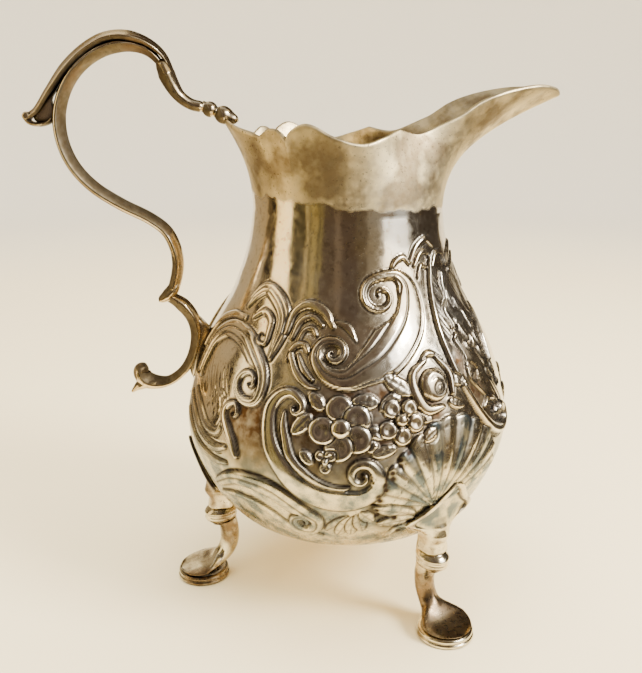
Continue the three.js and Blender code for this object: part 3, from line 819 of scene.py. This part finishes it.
MAIN_SCROLL = [
    (-32.9, 101.6), (-34.5, 105.1), (-37, 107.7), (-40.7, 108.7), (-44.6, 108), (-48.8, 105.4),
    (-51.9, 101.4), (-53.5, 96.5), (-53.3, 91.8), (-51.6, 87.4), (-48.4, 83.6), (-43.6, 80.3),
    (-38.2, 77.4), (-35.3, 75), (-33.8, 71.8), (-33.4, 68.4), (-34.3, 64.2), (-35, 62.7),
]
NIB = [(-33.6, 65.2), (-34.6, 63.5), (-35.9, 62.2), (-37.5, 61.3)]
RIM_NECK = [(-35.2, 106.3), (-34.3, 104.9), (-33.2, 102.4), (-31.7, 100), (-29.6, 98.5), (-27, 97.9)]
LEAF = [
    (-32.4, 102.6), (-33, 104.6), (-34.4, 107.2), (-37, 109.2), (-40.8, 110.3), (-44.5, 109.9),
    (-48.1, 108), (-51.8, 104.7), (-55, 100.7), (-57.6, 97.2), (-59, 96.3),
]
LEAF_WEB = [
    (-51.4, 104.3), (-55, 99.9), (-58, 96.4), (-57.6, 95.4), (-54.5, 95.7), (-54.6, 99), (-53, 102),
]
SPUR_LIP = [(-59.7, 96.4), (-58.8, 95.3), (-57.2, 94.9), (-55.6, 95.2), (-54.3, 96.2)]
SPUR_ROLL = (-59.1, 96.4)
ROLL_OUTLINE = [
    (0.05, -1.9), (0.5, -1.85), (0.75, -1.4), (0.8, 0), (0.75, 1.4), (0.5, 1.85), (0.05, 1.9),
]
BEADS_START = (-27.2, 98)
BEADS_DIP = 22
BEADS_OUTLINE = [
    (0.05, -0.6), (1, -0.5), (1, 0), (1.3, 0.5), (1.45, 1.2), (1.25, 1.9), (0.95, 2.3), (1.35, 2.8),
    (1.65, 3.6), (1.55, 4.5), (1.1, 5.5), (0.7, 6.4), (0.05, 6.8),
]
LOWER_SCROLL = [
    (-36.8, 62.1), (-35.3, 61.9), (-32.9, 60.3), (-31, 57.6), (-30.4, 54.5), (-30.9, 51.4),
    (-32, 48.6), (-33.8, 46.3), (-36.3, 44.7), (-39, 44.5), (-41, 45.3), (-41.6, 46.9),
    (-40.7, 48.1),
]
LOWER_TAIL = [(-38.2, 44.7), (-40.2, 44.6), (-42.2, 43.9), (-43.9, 42.5)]
SOLDER_WEB = [
    (-30.7, 58.6), (-29, 57), (-27.5, 54.8), (-28.1, 52.8), (-29.2, 50), (-30, 47.6), (-31.4, 45.6),
    (-32, 47.8), (-30.9, 51), (-30.5, 54), (-31, 56.6),
]


def graded(t, values):
    """A smooth change between values spread evenly over 0 to 1."""
    return np.interp(smoothstep(0, 1, t) * 0.35 + t * 0.65, np.linspace(0, 1, len(values)), values)


def strap_section():
    """Round a strap: flat outside with rubbed shoulders, and a keel inside."""
    turn = full_turn(48)
    across, side = np.cos(turn), np.sin(turn)
    y = np.sign(side) * (1 - np.abs(across) ** 1.3) ** 0.75
    outer = 0.08 + 0.42 * np.abs(across) ** 0.55
    inner = 0.08 - 0.58 * np.abs(across)
    return np.stack([np.where(across >= 0, outer, inner), y], 1)


def oval_section():
    turn = full_turn(32)
    return np.stack([0.5 * np.cos(turn), np.sin(turn)], 1)


def leaf_section():
    """Round a thin leaf that is arched across, with a raised midrib and rolled edges."""
    turn = full_turn(48)
    y = np.sign(np.cos(turn)) * np.abs(np.cos(turn)) ** 0.7
    arch = -0.55 * y**2 + 0.35 * np.exp(-((y / 0.14) ** 2)) + 0.35 * smoothstep(0.75, 0.98, np.abs(y))
    skin = 0.42 * np.sin(turn)
    return np.stack([arch + skin, y], 1)


def off_line(line, gap):
    """x and z of points that stand off a curve in the XZ plane, square to it."""
    along = np.gradient(line, axis=0)
    along /= np.linalg.norm(along, axis=1, keepdims=True)
    return line[:, 0, None] + along[:, 1, None] * gap, line[:, 1, None] - along[:, 0, None] * gap


def swept(points, section, steps, thickness, half_width):
    """Rings of a section along a curve in the handle's plane, closing softly at its ends."""
    line = spline(points, steps)
    t = np.linspace(0, 1, steps)
    length = length_along(line)[-1]
    thick, wide = graded(t, thickness), graded(t, half_width)
    close = np.ones(steps)
    for share in (t, 1 - t):
        reach = np.clip(share * length / (0.6 * thick), 0, 1)
        close *= np.sqrt(np.clip(1 - (1 - reach) ** 2, 0.0025, 1))
    y = section[None, :, 1] * (wide * (0.35 + 0.65 * close))[:, None]
    x, z = off_line(line, section[None, :, 0] * (thick * close)[:, None])
    return np.stack([x, y, z], -1)


def revolved(outline, count=48):
    """Rings round the Z axis through (radius, height) points."""
    turn = full_turn(count)
    outline = np.asarray(outline, float)
    x = outline[:, 0, None] * np.cos(turn)
    y = outline[:, 0, None] * np.sin(turn)
    return np.stack([x, y, np.broadcast_to(outline[:, 1, None], x.shape)], -1)


def add_skins(name, skins, material, middles=None):
    """One piece from sets of rings, each closed with fans round its ends' middles, or round given ones."""
    points, faces = [], []
    for rings in skins:
        rows, columns = rings.shape[:2]
        start = sum(len(p) for p in points)
        points += [rings.reshape(-1, 3), middles or rings[[0, -1]].mean(axis=1)]
        ring = np.arange(columns)
        following = (ring + 1) % columns
        low, last = rows * columns, (rows - 1) * columns
        first_fan = np.stack([np.full(columns, low), following, ring], 1)
        last_fan = np.stack([np.full(columns, low + 1), last + ring, last + following], 1)
        for group in (grid_faces(rows, columns), first_fan, last_fan):
            faces += (group + start).tolist()
    piece = add_mesh(name, place(np.vstack(points)), faces, material)
    face_outwards(piece.data)
    return piece


# The middles of the loops that the film faces, and the crook of the arch, where a dark reflection is
# painted on as brown stain.
ARCH_MIDDLE = (-42, 0, 93)
LOWER_MIDDLE = (-39, 0, 54)
DARK_REFLECTION_CROOK = (-37.6, 0, 106.4)


def film_towards(piece, middle):
    """Film on the faces that look towards a place in the handle's plane, where a cloth can't rub, and a
    painted dark reflection round the crook of the arch.
    """
    spots = read(piece.data.vertices, "co", float, 3).reshape(-1, 3)
    normals = read(piece.data.vertices, "normal", float, 3).reshape(-1, 3)
    towards = (place(middle) - spots) * (1, 0, 1)
    towards /= np.linalg.norm(towards, axis=1, keepdims=True)
    away = np.linalg.norm((spots - place(DARK_REFLECTION_CROOK)) * (1, 0, 1), axis=1) / MM
    film = 1.3 * smoothstep(0, 0.35, (towards * normals).sum(1))
    # Round the crook of the arch a dark reflection is painted on as brown stain.
    point_values(piece.data, {"film": film, "stain_and_dark_reflection": 1.2 * bell(away, 3.2)})


def face_outwards(mesh):
    work = bmesh.new()
    work.from_mesh(mesh)
    bmesh.ops.recalc_face_normals(work, faces=work.faces)
    work.to_mesh(mesh)
    work.free()


def prism(outline, half_depth, count=60):
    """Rings of a flat outline in the handle's plane, with softened edges."""
    line = spline(outline + outline[:1], count + 1)[:-1]
    middle = line.mean(axis=0)
    rings = []
    for y, size in ((-1, 0.8), (-0.92, 0.93), (-0.7, 1), (0, 0.97), (0.7, 1), (0.92, 0.93), (1, 0.8)):
        edge = middle + (line - middle) * size
        rings.append(np.stack([edge[:, 0], np.full(len(edge), y * half_depth), edge[:, 1]], 1))
    return np.array(rings)


def make_handle(material):
    strap, oval = strap_section(), oval_section()
    widths = (0.8, 2.9, 3.1, 3, 2.8, 2.6, 2.4, 2.2)
    main = swept(MAIN_SCROLL, strap, 260, (0.8, 2.5, 2.3, 2.4, 2.4, 2.4, 2.4, 2.3), widths)
    nib = swept(NIB, oval, 30, (1.8, 2.5, 2.4, 1.3), (1.8, 2.2, 2.2, 1.6))
    widths = (0.5, 2.4, 3.2, 3.2, 3.2, 3.1, 2.6, 1.9)
    leaf = swept(LEAF, leaf_section(), 180, (0.5, 1, 1.4, 1.4, 1.4, 1.4, 1.1, 0.9), widths)
    lip = swept(SPUR_LIP, oval, 50, (0.9, 0.9, 0.8, 0.7), (1.6, 2, 2.3, 2.2))
    roll = revolved(spline(ROLL_OUTLINE, 40))
    roll = np.stack([SPUR_ROLL[0] + roll[..., 0], roll[..., 2], SPUR_ROLL[1] + roll[..., 1]], -1)
    neck = swept(RIM_NECK, oval, 90, (2.2, 3.2, 2.8, 2.3, 2.1, 2.1), (1.9, 2.7, 2.1, 1.7, 1.6, 1.6))
    out, side, along = np.moveaxis(revolved(spline(BEADS_OUTLINE, 70)), -1, 0)
    dip = math.radians(BEADS_DIP)
    beads_x = BEADS_START[0] + along * math.cos(dip) + out * math.sin(dip)
    beads_z = BEADS_START[1] - along * math.sin(dip) + out * math.cos(dip)
    beads = np.stack([beads_x, 1.2 * side, beads_z], -1)
    depths = (1.8, 2.9, 2.7, 2.4, 2.1, 2, 1.8, 2, 3.4, 3.6)
    lower = swept(LOWER_SCROLL, strap * (-1, 1), 200, depths, (1.8, 2.3, 2.2, 2.1, 2, 2, 2, 2.2, 2.3))
    tail = swept(LOWER_TAIL, oval, 50, (1.2, 2.3, 2, 0.5), (1.9, 2.2, 1.7, 0.6))
    pieces = {
        "handle_main_scroll": [main, nib],
        "handle_leaf_spur": [leaf, prism(LEAF_WEB, 0.7), lip, roll],
        "handle_rim_neck": [neck],
        "handle_rim_beads": [beads],
        "handle_lower_scroll": [lower, tail, prism(SOLDER_WEB, 1.5)],
    }
    for node, skins in pieces.items():
        piece = add_skins(node.replace("handle_", "cast_"), skins, material)
        film_towards(piece, LOWER_MIDDLE if node == "handle_lower_scroll" else ARCH_MIDDLE)
        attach(piece, "root")
        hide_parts(node)


# The legs, in a leg's own plane: x out from the jug's axis, y across, z up.

# Each leg's azimuth, the painted shade on its shield and how far the brown film covers it.
LEGS = {"back": (180, 0.9, 0.5), "right": (-60, 0, 0.34), "left": (60, 0, 0.34)}
KNUCKLE_X = 26.9
KNUCKLE_OUTLINE = [
    (1.9, 12.2), (2.2, 12.7), (3, 13.2), (3.4, 13.9), (3.3, 14.6), (3.5, 15.2), (3, 15.9), (2.5, 16.3),
    (2.4, 16.8),
]
SHANK = [
    (25.7, 13), (25.3, 11.6), (25, 9.6), (25.3, 7.2), (26.5, 5), (28.4, 3.6), (30.6, 2.8), (33, 2.35),
    (35.9, 2.15),
]
PAD_RADIUS = 5.25
SOLE_RADIUS = 5.5
SOLE_CENTRE = 31
SHIELD_TOP = 32.3


def shield_rings():
    """The shield: pointed at its top and wings, its edge raised, lying over the body; and its neck."""
    levels = np.concatenate([np.linspace(16.5, 21.4, 26), np.linspace(21.6, SHIELD_TOP, 90)])
    count = 96
    turn = full_turn(count)
    body_reach = np.interp(levels, profile[:, 1], profile[:, 0])
    stand_off = np.interp(levels, [20.4, 22, 24, 27, SHIELD_TOP], [0, 1.1, 0.85, 0.7, 0.6])
    stem = np.interp(levels, [16.5, 18.4, 20.4, 22, 24], [29.3, 29, 29.4, 30.2, 31.2])
    share = smoothstep(19.5, 24.5, levels)
    face = stem * (1 - share) + (body_reach + stand_off) * share
    wide = np.interp(
        levels,
        [16.5, 18.2, 19.6, 20.8, 21.8, 22.8, 23.6, 24.4, 25.4, 27, 29, 30.8, 31.7, SHIELD_TOP],
        [2.6, 2.45, 2.7, 3.3, 4.5, 6.4, 7.9, 8.6, 7.9, 5.7, 3.8, 2.5, 1.6, 0.3],
    )
    stem_back = np.interp(levels, [16.5, 18.4, 20.4], [24.2, 24.4, 25])
    rings = []
    for z, x, w, back, reach in zip(levels, face, wide, stem_back, body_reach):
        u = np.cos(turn)
        y = w * np.sign(u) * np.abs(u) ** 0.75
        edge = smoothstep(w - 2.1, w - 1.2, np.abs(y)) * smoothstep(22, 24, z)
        dish = 0.5 * bell(y, 0.55 * w) * smoothstep(23, 26, z)
        ridge = 0.9 * bell(y, 1.7) * smoothstep(25.5, 21, z) * smoothstep(18, 20.5, z)
        curl = (1 - np.sqrt(np.maximum(1 - (y / reach) ** 2, 0))) * reach * smoothstep(18.5, 21.5, z)
        bulge = 0.5 * (1 - smoothstep(19, 23, z)) * (1 - (y / w) ** 2)
        outside = x - 0.25 + bulge + 0.8 * edge - dish + ridge - curl
        middle = np.sqrt(np.maximum(reach**2 - y**2, 0)) - 0.35
        inside = np.where(z < 20.4, np.maximum(back, middle), middle)
        deep = np.abs(np.sin(turn)) ** 0.35
        side = (outside + inside) / 2 + np.sign(np.sin(turn)) * deep * (outside - inside) / 2
        rings.append(np.stack([side, y, np.full(count, z)], 1))
    return np.array(rings)


def knuckle_rings():
    levels = spline(KNUCKLE_OUTLINE, 54)
    turn = full_turn(48)
    out = levels[:, 0, None] * np.cos(turn)
    y = 0.86 * levels[:, 0, None] * np.sin(turn)
    return np.stack([KNUCKLE_X + out, y, levels[:, 1, None] - 0.08 * out], -1)


def shank_rings():
    """The cabriole shank, flowing into a dished pad over the sole."""
    steps = 150
    path = spline(SHANK, steps)
    t = np.linspace(0, 1, steps)
    pad = np.sqrt(np.clip(PAD_RADIUS**2 - (path[:, 0] - SOLE_CENTRE + 0.3) ** 2, 0.01, None))
    stem = np.interp(t, [0, 0.2, 0.4, 0.5, 0.6], [2.3, 1.95, 1.95, 2.2, 2.8])
    share = smoothstep(0.42, 0.74, t)
    wide = stem * (1 - share) + pad * share
    thick = np.interp(t, [0, 0.15, 0.4, 0.55, 0.7, 0.85, 1], [4.1, 3.8, 3.5, 3, 1.9, 1.2, 0.5])
    turn = full_turn(44)
    side, top = np.sin(turn), np.cos(turn) < 0
    y = wide[:, None] * np.sign(side) * np.abs(side) ** 0.9
    dish = 0.55 * smoothstep(0.5, 0.75, t)[:, None] * (1 - side**2) * top
    arris = 0.25 * (smoothstep(0.02, 0.2, t) * (1 - share))[:, None] * bell(side, 0.25) * top
    x, z = off_line(path, 0.5 * thick[:, None] * np.cos(turn) + dish - arris)
    return np.stack([x, y, z], -1)


def sole_rings():
    """The round sole, its edge stepped in two rolls with a groove between them."""
    edge = [(0.6, 0), (0.12, 0.08), (0, 0.35), (0.05, 0.65), (0.34, 0.86), (0.2, 1.05)]
    edge += [(0.12, 1.35), (0.3, 1.68), (0.8, 1.82), (1.6, 1.6)]
    outline = [(0.05, 0)] + [(SOLE_RADIUS - inset, z) for inset, z in edge] + [(2, 1.5), (0.05, 1.5)]
    rings = revolved(spline(outline, 90, power=1), 64)
    rings[..., 0] += SOLE_CENTRE
    rings[..., 2] = np.maximum(rings[..., 2], 0)
    return rings


def shield_marks(rings, shield_shade):
    """Where the shield's face is dull blue-grey inside its bright edge, with a painted dark reflection in
    the crease inside that edge, and how much painted shade lies over it all.
    """
    levels = np.broadcast_to(rings[..., 2], rings.shape[:2])
    half = np.abs(rings[..., 1]).max(axis=1, keepdims=True)
    inset = half - np.abs(rings[..., 1])
    turn = full_turn(rings.shape[1])
    high = smoothstep(21.5, 23.5, levels) * (np.sin(turn) >= 0)
    blue = (1.2 - shield_shade) * high * smoothstep(1.8, 2.2, inset)
    # The crease just inside the raised edge gets a painted dark reflection, and the leg's shade value
    # paints shade over the whole face, near black on the back leg.
    dark = high * np.maximum(bell(inset - 1.9, 0.4), shield_shade)
    return {"blue": with_ends(blue), "dark": with_ends(dark)}


def make_legs(material):
    parts = {
        "shield": shield_rings(),
        "knuckle": knuckle_rings(),
        "shank": shank_rings(),
        "sole": sole_rings(),
    }
    for leg, (azimuth, shield_shade, coverage) in LEGS.items():
        ahead, aside = math.cos(math.radians(azimuth)), math.sin(math.radians(azimuth))
        for part, rings in parts.items():
            x, y, z = np.moveaxis(rings, -1, 0)
            turned = np.stack([x * ahead - y * aside, x * aside + y * ahead, z], -1)
            piece = add_skins(f"cast_{leg}_{part}", [turned], material)
            marks = shield_marks(rings, shield_shade) if part == "shield" else {}
            # The right front shank is darker, with more brown film, down its lower half.
            low = smoothstep(12.5, 7, with_ends(z, 10)) * (leg == "right" and part == "shank")
            point_values(piece.data, marks | {"film": coverage + 0.9 * low, "stain_and_dark_reflection": 0.3 + 0.45 * low})
            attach(piece, "root")
            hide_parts(f"{leg}_leg_{part}")


# Materials.


class Finish:
    """A material's node tree, with short calls for the nodes that it needs."""

    def __init__(self, name):
        self.material = bpy.data.materials.new(name)
        self.material.use_nodes = True
        self.tree = self.material.node_tree

    def add(self, kind, inputs=None, **settings):
        node = self.tree.nodes.new("ShaderNode" + kind)
        for name, value in settings.items():
            setattr(node, name, value)
        for name, value in (inputs or {}).items():
            self.feed(node.inputs[name], value)
        return node

    def feed(self, socket, value):
        if isinstance(value, bpy.types.NodeSocket):
            self.tree.links.new(value, socket)
        else:
            socket.default_value = value

    def surface(self, values):
        for name, value in values.items():
            self.feed(self.tree.nodes["Principled BSDF"].inputs[name], value)
        return self.material

    def attribute(self, name):
        return self.add("Attribute", attribute_name=name).outputs["Fac"]

    def noise(self, per_mm, detail):
        """Fine noise in the object's own space, with its scale given as waves to the millimetre."""
        place = self.add("TexCoord").outputs["Object"]
        inputs = {"Vector": place, "Scale": per_mm / MM, "Detail": detail}
        return self.add("TexNoise", inputs).outputs["Fac"]

    def ramp(self, value, low, high, start=0.0, end=1.0):
        inputs = {"Value": value, "From Min": low, "From Max": high, "To Min": start, "To Max": end}
        return self.add("MapRange", inputs).outputs["Result"]

    def maths(self, operation, a, b):
        return self.add("Math", {0: a, 1: b}, operation=operation).outputs[0]

    def times(self, a, b):
        return self.maths("MULTIPLY", a, b)

    def plus(self, a, b):
        return self.maths("ADD", a, b)

    def tint(self, amount, under, over):
        return self.add("Mix", {0: amount, 6: under, 7: over}, data_type="RGBA").outputs[2]

    def bump(self, height, distance, strength, **under):
        inputs = {"Height": height, "Distance": distance, "Strength": strength} | under
        return self.add("Bump", inputs).outputs["Normal"]


CLEAN_SILVER = (0.92, 0.85, 0.71, 1)
WARM_SILVER = (0.80, 0.63, 0.36, 1)
LEG_SILVER = (0.80, 0.76, 0.58, 1)
DULL_FILM = (0.40, 0.30, 0.18, 1)
NECK_FILM = (0.83, 0.68, 0.38, 1)
HANDLE_FILM = (0.13, 0.098, 0.054, 1)
LEG_FILM = (0.25, 0.195, 0.12, 1)
STAIN_AND_REFLECTION_BROWN = (0.17, 0.11, 0.058, 1)
# Near black: the tarnish colour, also used for painted shade.
TARNISH_AND_SHADE = (0.03, 0.021, 0.016, 1)
RUST = (0.125, 0.066, 0.028, 1)
SHELL_BLUE = (0.125, 0.148, 0.148, 1)
CREAM = (0.63, 0.55, 0.35, 1)


def silver_finish(name, silver, film_colour, warmth, dullness=0, chased=False, marked=False):
    """Old silver: warm patches, small spots, tarnish wherever a cloth can't reach, and painted shade in
    its crevices and where parts meet.
    """
    finish = Finish(name)
    cloud = finish.noise(0.06, 3)
    scratch = finish.noise(0.9, 6)
    warm = finish.times(finish.ramp(cloud, 0.36, 0.6), warmth * 2)
    colour = finish.tint(warm, silver, WARM_SILVER)
    rough = finish.ramp(scratch, 0.3, 0.75, 0.09, 0.2)
    spots = finish.ramp(finish.noise(0.7, 6), 0.58, 0.68, 0, 0.45)
    colour = finish.tint(spots, colour, DULL_FILM)
    if dullness:
        dull = finish.ramp(finish.noise(0.3, 6), 0.32, 0.62, 0.45 * dullness, dullness)
        colour = finish.tint(dull, colour, DULL_FILM)
        rough = finish.plus(rough, finish.times(dull, 0.16))
    edge = finish.maths("SUBTRACT", finish.noise(0.2, 8), 0.5)
    film = finish.plus(finish.attribute("film"), finish.times(edge, 1.4))
    film = finish.ramp(film, 0.35, 0.6)
    thinnest = 0.78 if chased or marked else 0.9
    film = finish.times(film, finish.ramp(finish.noise(0.7, 8), 0.36, 0.6, thinnest, 1))
    colour = finish.tint(film, colour, film_colour)
    # Brown stain, which also carries the painted dark reflection at the crook of the handle's arch.
    stain_and_dark_reflection = finish.plus(finish.attribute("stain_and_dark_reflection"), finish.times(edge, 2.4))
    stain_and_dark_reflection = finish.times(finish.ramp(stain_and_dark_reflection, 0.15, 0.65), film)
    colour = finish.tint(finish.times(stain_and_dark_reflection, 0.8), colour, STAIN_AND_REFLECTION_BROWN)
    rough = finish.plus(rough, finish.times(film, 0.12 if marked else 0.36))
    if chased:
        mat = finish.attribute("mat")
        rust = finish.times(mat, finish.ramp(finish.noise(0.45, 7), 0.32, 0.58, 0.55, 1))
        colour = finish.tint(rust, colour, RUST)
        rough = finish.plus(rough, finish.times(mat, 0.28))
    if chased or marked:
        streak = finish.ramp(finish.noise(0.3, 7), 0.42, 0.6, 0.1, 0.9)
        blue = finish.times(finish.attribute("blue"), streak)
        cream = finish.times(finish.attribute("blue"), 0.8)
        colour = finish.tint(cream, colour, CREAM)
        colour = finish.tint(blue, colour, SHELL_BLUE)
        rough = finish.plus(rough, finish.times(cream, 0.15))
    # Dark marks: tarnish in chased lines and pits, painted shade beside raised work, and painted shade and
    # a dark reflection on the leg shields.
    dark = finish.attribute("dark")
    specks = finish.ramp(finish.noise(2.2, 5), 0.6, 0.68)
    specks = finish.times(specks, finish.ramp(cloud, 0.42, 0.6, 0.1, 0.7))
    dark = finish.maths("MAXIMUM", dark, specks)
    colour = finish.tint(finish.ramp(dark, 0.1, 0.95), colour, TARNISH_AND_SHADE)
    rough = finish.plus(rough, finish.times(dark, 0.2))
    # Ambient occlusion paints shade into crevices and where parts meet, along with the tarnish that
    # gathers there.
    reach = (0.5 if marked else 1.2) * MM
    crevice_shade_and_tarnish = finish.add("AmbientOcclusion", {"Distance": reach}, samples=8)
    colour = finish.tint(finish.ramp(crevice_shade_and_tarnish.outputs["AO"], 0.35, 0.9, 0.9, 0), colour, TARNISH_AND_SHADE)
    dents = finish.bump(finish.noise(0.09, 2), 0.5 * MM, 0.6)
    normal = finish.bump(scratch, 0.02 * MM, 0.25, Normal=dents)
    values = {"Metallic": 1, "Base Color": colour, "Roughness": rough, "Normal": normal}
    return finish.surface(values)


# Stage, lights and camera.


FLOOR_COLOUR = (0.94, 0.80, 0.50, 1)
WALL_COLOUR = (0.86, 0.805, 0.68, 1)
FLOOR_REACH = 600
COVE_RADIUS = 300
WALL_TOP = 1400


def make_stage():
    """A pale floor that turns up into a wall all round, well away from the jug."""
    outline = [(1, 0), (80, 0), (200, 0), (350, 0), (500, 0)]
    for turn in np.linspace(0, math.pi / 2, 16):
        reach = FLOOR_REACH + COVE_RADIUS * math.sin(turn)
        outline.append((reach, COVE_RADIUS * (1 - math.cos(turn))))
    outline += [(reach, WALL_TOP / 2), (reach, WALL_TOP)]
    count = 96
    rings = revolved(outline, count)
    faces = grid_faces(len(outline), count)[:, ::-1].tolist()
    faces += [(len(rings) * count, k, (k + 1) % count) for k in range(count)]
    points = np.vstack([rings.reshape(-1, 3), [[0, 0, 0]]])
    paint = Finish("studio_paint")
    colour = paint.tint(paint.attribute("away"), FLOOR_COLOUR, WALL_COLOUR)
    paint.surface({"Base Color": colour, "Roughness": 0.8})
    room = add_mesh("studio_room", place(points), faces, paint.material)
    point_values(room.data, {"away": smoothstep(250, 700, np.hypot(points[:, 0], points[:, 1]))})


def glowing_card(name, points, faces, light):
    """A card that only the silver's reflections see, giving out an even light."""
    unlit = {"Base Color": (0, 0, 0, 1), "Roughness": 1, "Specular IOR Level": 0}
    glow = {"Emission Color": (*light, 1), "Emission Strength": 1}
    card = add_mesh(name, place(points), faces, Finish(name + "_paper").surface(unlit | glow))
    for ray in ("camera", "diffuse", "shadow", "transmission"):
        setattr(card, "visible_" + ray, False)


def arc_points(reach, bearings, height, count):
    turns = np.radians(np.linspace(*bearings, count))
    return [(reach * math.cos(a), reach * math.sin(a), height) for a in turns]


def wall_card(name, reach, bearings, heights, light):
    """A card bent round the jug at one reach, between two bearings and two heights."""
    points = arc_points(reach, bearings, heights[0], 13) + arc_points(reach, bearings, heights[1], 13)
    glowing_card(name, points, grid_faces(2, 13, closed=False).tolist(), light)


def flat_card(name, points, light):
    glowing_card(name, points, [tuple(range(len(points)))], light)


# What stands round the jug on the side it is seen from: each part's name and last bearing from
# the spout, and the light from its tabletop and from its wall.
FIRST_BEARING = -245
SURROUNDINGS = [
    ("tan_wall", -199, (0.462, 0.35, 0.21), (0.56, 0.432, 0.264)),
    ("window_frame", -187, (0.03, 0.02, 0.012), (0.03, 0.02, 0.012)),
    ("left_window", -164, (1.9, 1.444, 0.722), (3, 2.31, 1.2)),
    ("olive_shade", -148, (0.08, 0.062, 0.026), (0.065, 0.05, 0.022)),
    ("gold_fold_one", -144, (0.72, 0.56, 0.24), (0.6, 0.45, 0.2)),
    ("gold_gap_one", -141, (0.12, 0.09, 0.03), (0.1, 0.08, 0.03)),
    ("gold_fold_two", -134, (0.5, 0.4, 0.15), (0.42, 0.32, 0.12)),
    ("gold_gap_two", -131, (0.1, 0.08, 0.04), (0.1, 0.08, 0.04)),
    ("gold_fold_three", -128, (0.34, 0.27, 0.11), (0.3, 0.24, 0.1)),
    ("brown_shade", -113, (0.07, 0.05, 0.03), (0.11, 0.08, 0.06)),
    ("brown_strip", -106, (0.15, 0.11, 0.06), (0.2, 0.15, 0.11)),
    ("brown_door", -88, (0.06, 0.043, 0.03), (0.1, 0.072, 0.056)),
    ("brown_edge", -76, (0.16, 0.125, 0.085), (0.13, 0.1, 0.07)),
    ("grey_door", -60, (0.324, 0.279, 0.216), (0.27, 0.234, 0.189)),
    ("right_sill", -22, (0.2, 0.15, 0.1), (0.26, 0.2, 0.14)),
    ("right_shade", 34, (0.08, 0.06, 0.04), (0.05, 0.036, 0.025)),
]
NEAR_TABLE = 108
FAR_TABLE = 425
ROOM_TOP = 430
ROOM_CEILING = 900


def make_cards():
    """What the silver reflects: a dim room in front, a bright window at each side, a warm wall."""
    start = FIRST_BEARING
    for name, end, table, wall in SURROUNDINGS:
        wall_card(name, FAR_TABLE - 5, (start, end), (2, ROOM_TOP), wall)
        near = arc_points(NEAR_TABLE, (start, end), 1, 7)
        far = arc_points(FAR_TABLE, (end, start), 1, 7)
        flat_card(name + "_table", near + far, table)
        start = end
    for foot, top, glow in ((30, 60, 0.7), (60, 95, 1.2), (95, 140, 2.2), (140, 400, 4.4)):
        light = (glow, 0.97 * glow, 0.93 * glow)
        wall_card(f"right_window_{foot}", 400, (-58, -24), (foot, top), light)
    wall_card("far_upper_shade", 424, (22, 88), (60, ROOM_CEILING), (0.08, 0.058, 0.04))
    wall_card("far_upper_half_shade", 424, (88, 98), (60, ROOM_CEILING), (0.3, 0.24, 0.17))
    wall_card("dim_upper_room", 424, (-168, -60), (ROOM_TOP, ROOM_CEILING), (0.16, 0.12, 0.09))
    flat_card("dim_ceiling", arc_points(FAR_TABLE, (-185, -20), ROOM_CEILING, 12), (0.2, 0.16, 0.12))


def make_world():
    """Even, dim light from above the room's open top."""
    world = bpy.data.worlds.new("studio")
    bpy.context.scene.world = world
    world.use_nodes = True
    background = world.node_tree.nodes["Background"]
    background.inputs["Color"].default_value = (0.95, 0.93, 0.9, 1)
    background.inputs["Strength"].default_value = 0.62


JUG_MIDDLE = (0, 0, 50)
CAMERA_PLACE = (-24.7, -156.1, 97)


def add_light(name, spot, sides, watts, colour):
    """A soft rectangular light, aimed at the jug's middle."""
    light = bpy.data.lights.new(name, "AREA")
    light.shape = "RECTANGLE"
    light.size, light.size_y = sides * MM, sides * MM
    light.energy = watts
    light.color = colour
    lamp = bpy.data.objects.new(name, light)
    lamp.location = place(spot)
    aim = Vector(place(JUG_MIDDLE)) - lamp.location
    lamp.rotation_euler = aim.to_track_quat("-Z", "Y").to_euler()
    lamp.visible_camera = False
    bpy.context.scene.collection.objects.link(lamp)
    return lamp


def make_camera():
    data = bpy.data.cameras.new("camera")
    data.lens = 42.63
    data.sensor_width = 36
    data.clip_start = 0.01
    camera = bpy.data.objects.new("camera", data)
    camera.location = place(CAMERA_PLACE)
    camera.rotation_euler = (math.radians(74.3), 0, math.radians(-7.1))
    bpy.context.scene.collection.objects.link(camera)
    bpy.context.scene.camera = camera


def make_lights():
    add_light("key_window", (340, -230, 330), 170, 6, (1, 0.97, 0.92))
    add_light("fill", (-420, -260, 420), 300, 0.9, (1, 0.96, 0.88))
    ceiling = add_light("ceiling", (0, 60, 700), 700, 11.5, (1, 0.98, 0.95))
    ceiling.visible_glossy = False


make_camera()
make_world()
make_stage()
make_cards()
make_lights()

body_silver = silver_finish("chased_silver", CLEAN_SILVER, NECK_FILM, 0.42, chased=True)
handle_silver = silver_finish("dull_handle_silver", CLEAN_SILVER, HANDLE_FILM, 0.5, 0.45)
leg_silver = silver_finish("leg_silver", LEG_SILVER, LEG_FILM, 0.2, 0.3, marked=True)
body = make_body(body_silver)
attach(body, "root")
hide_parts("body")
make_handle(handle_silver)
make_legs(leg_silver)
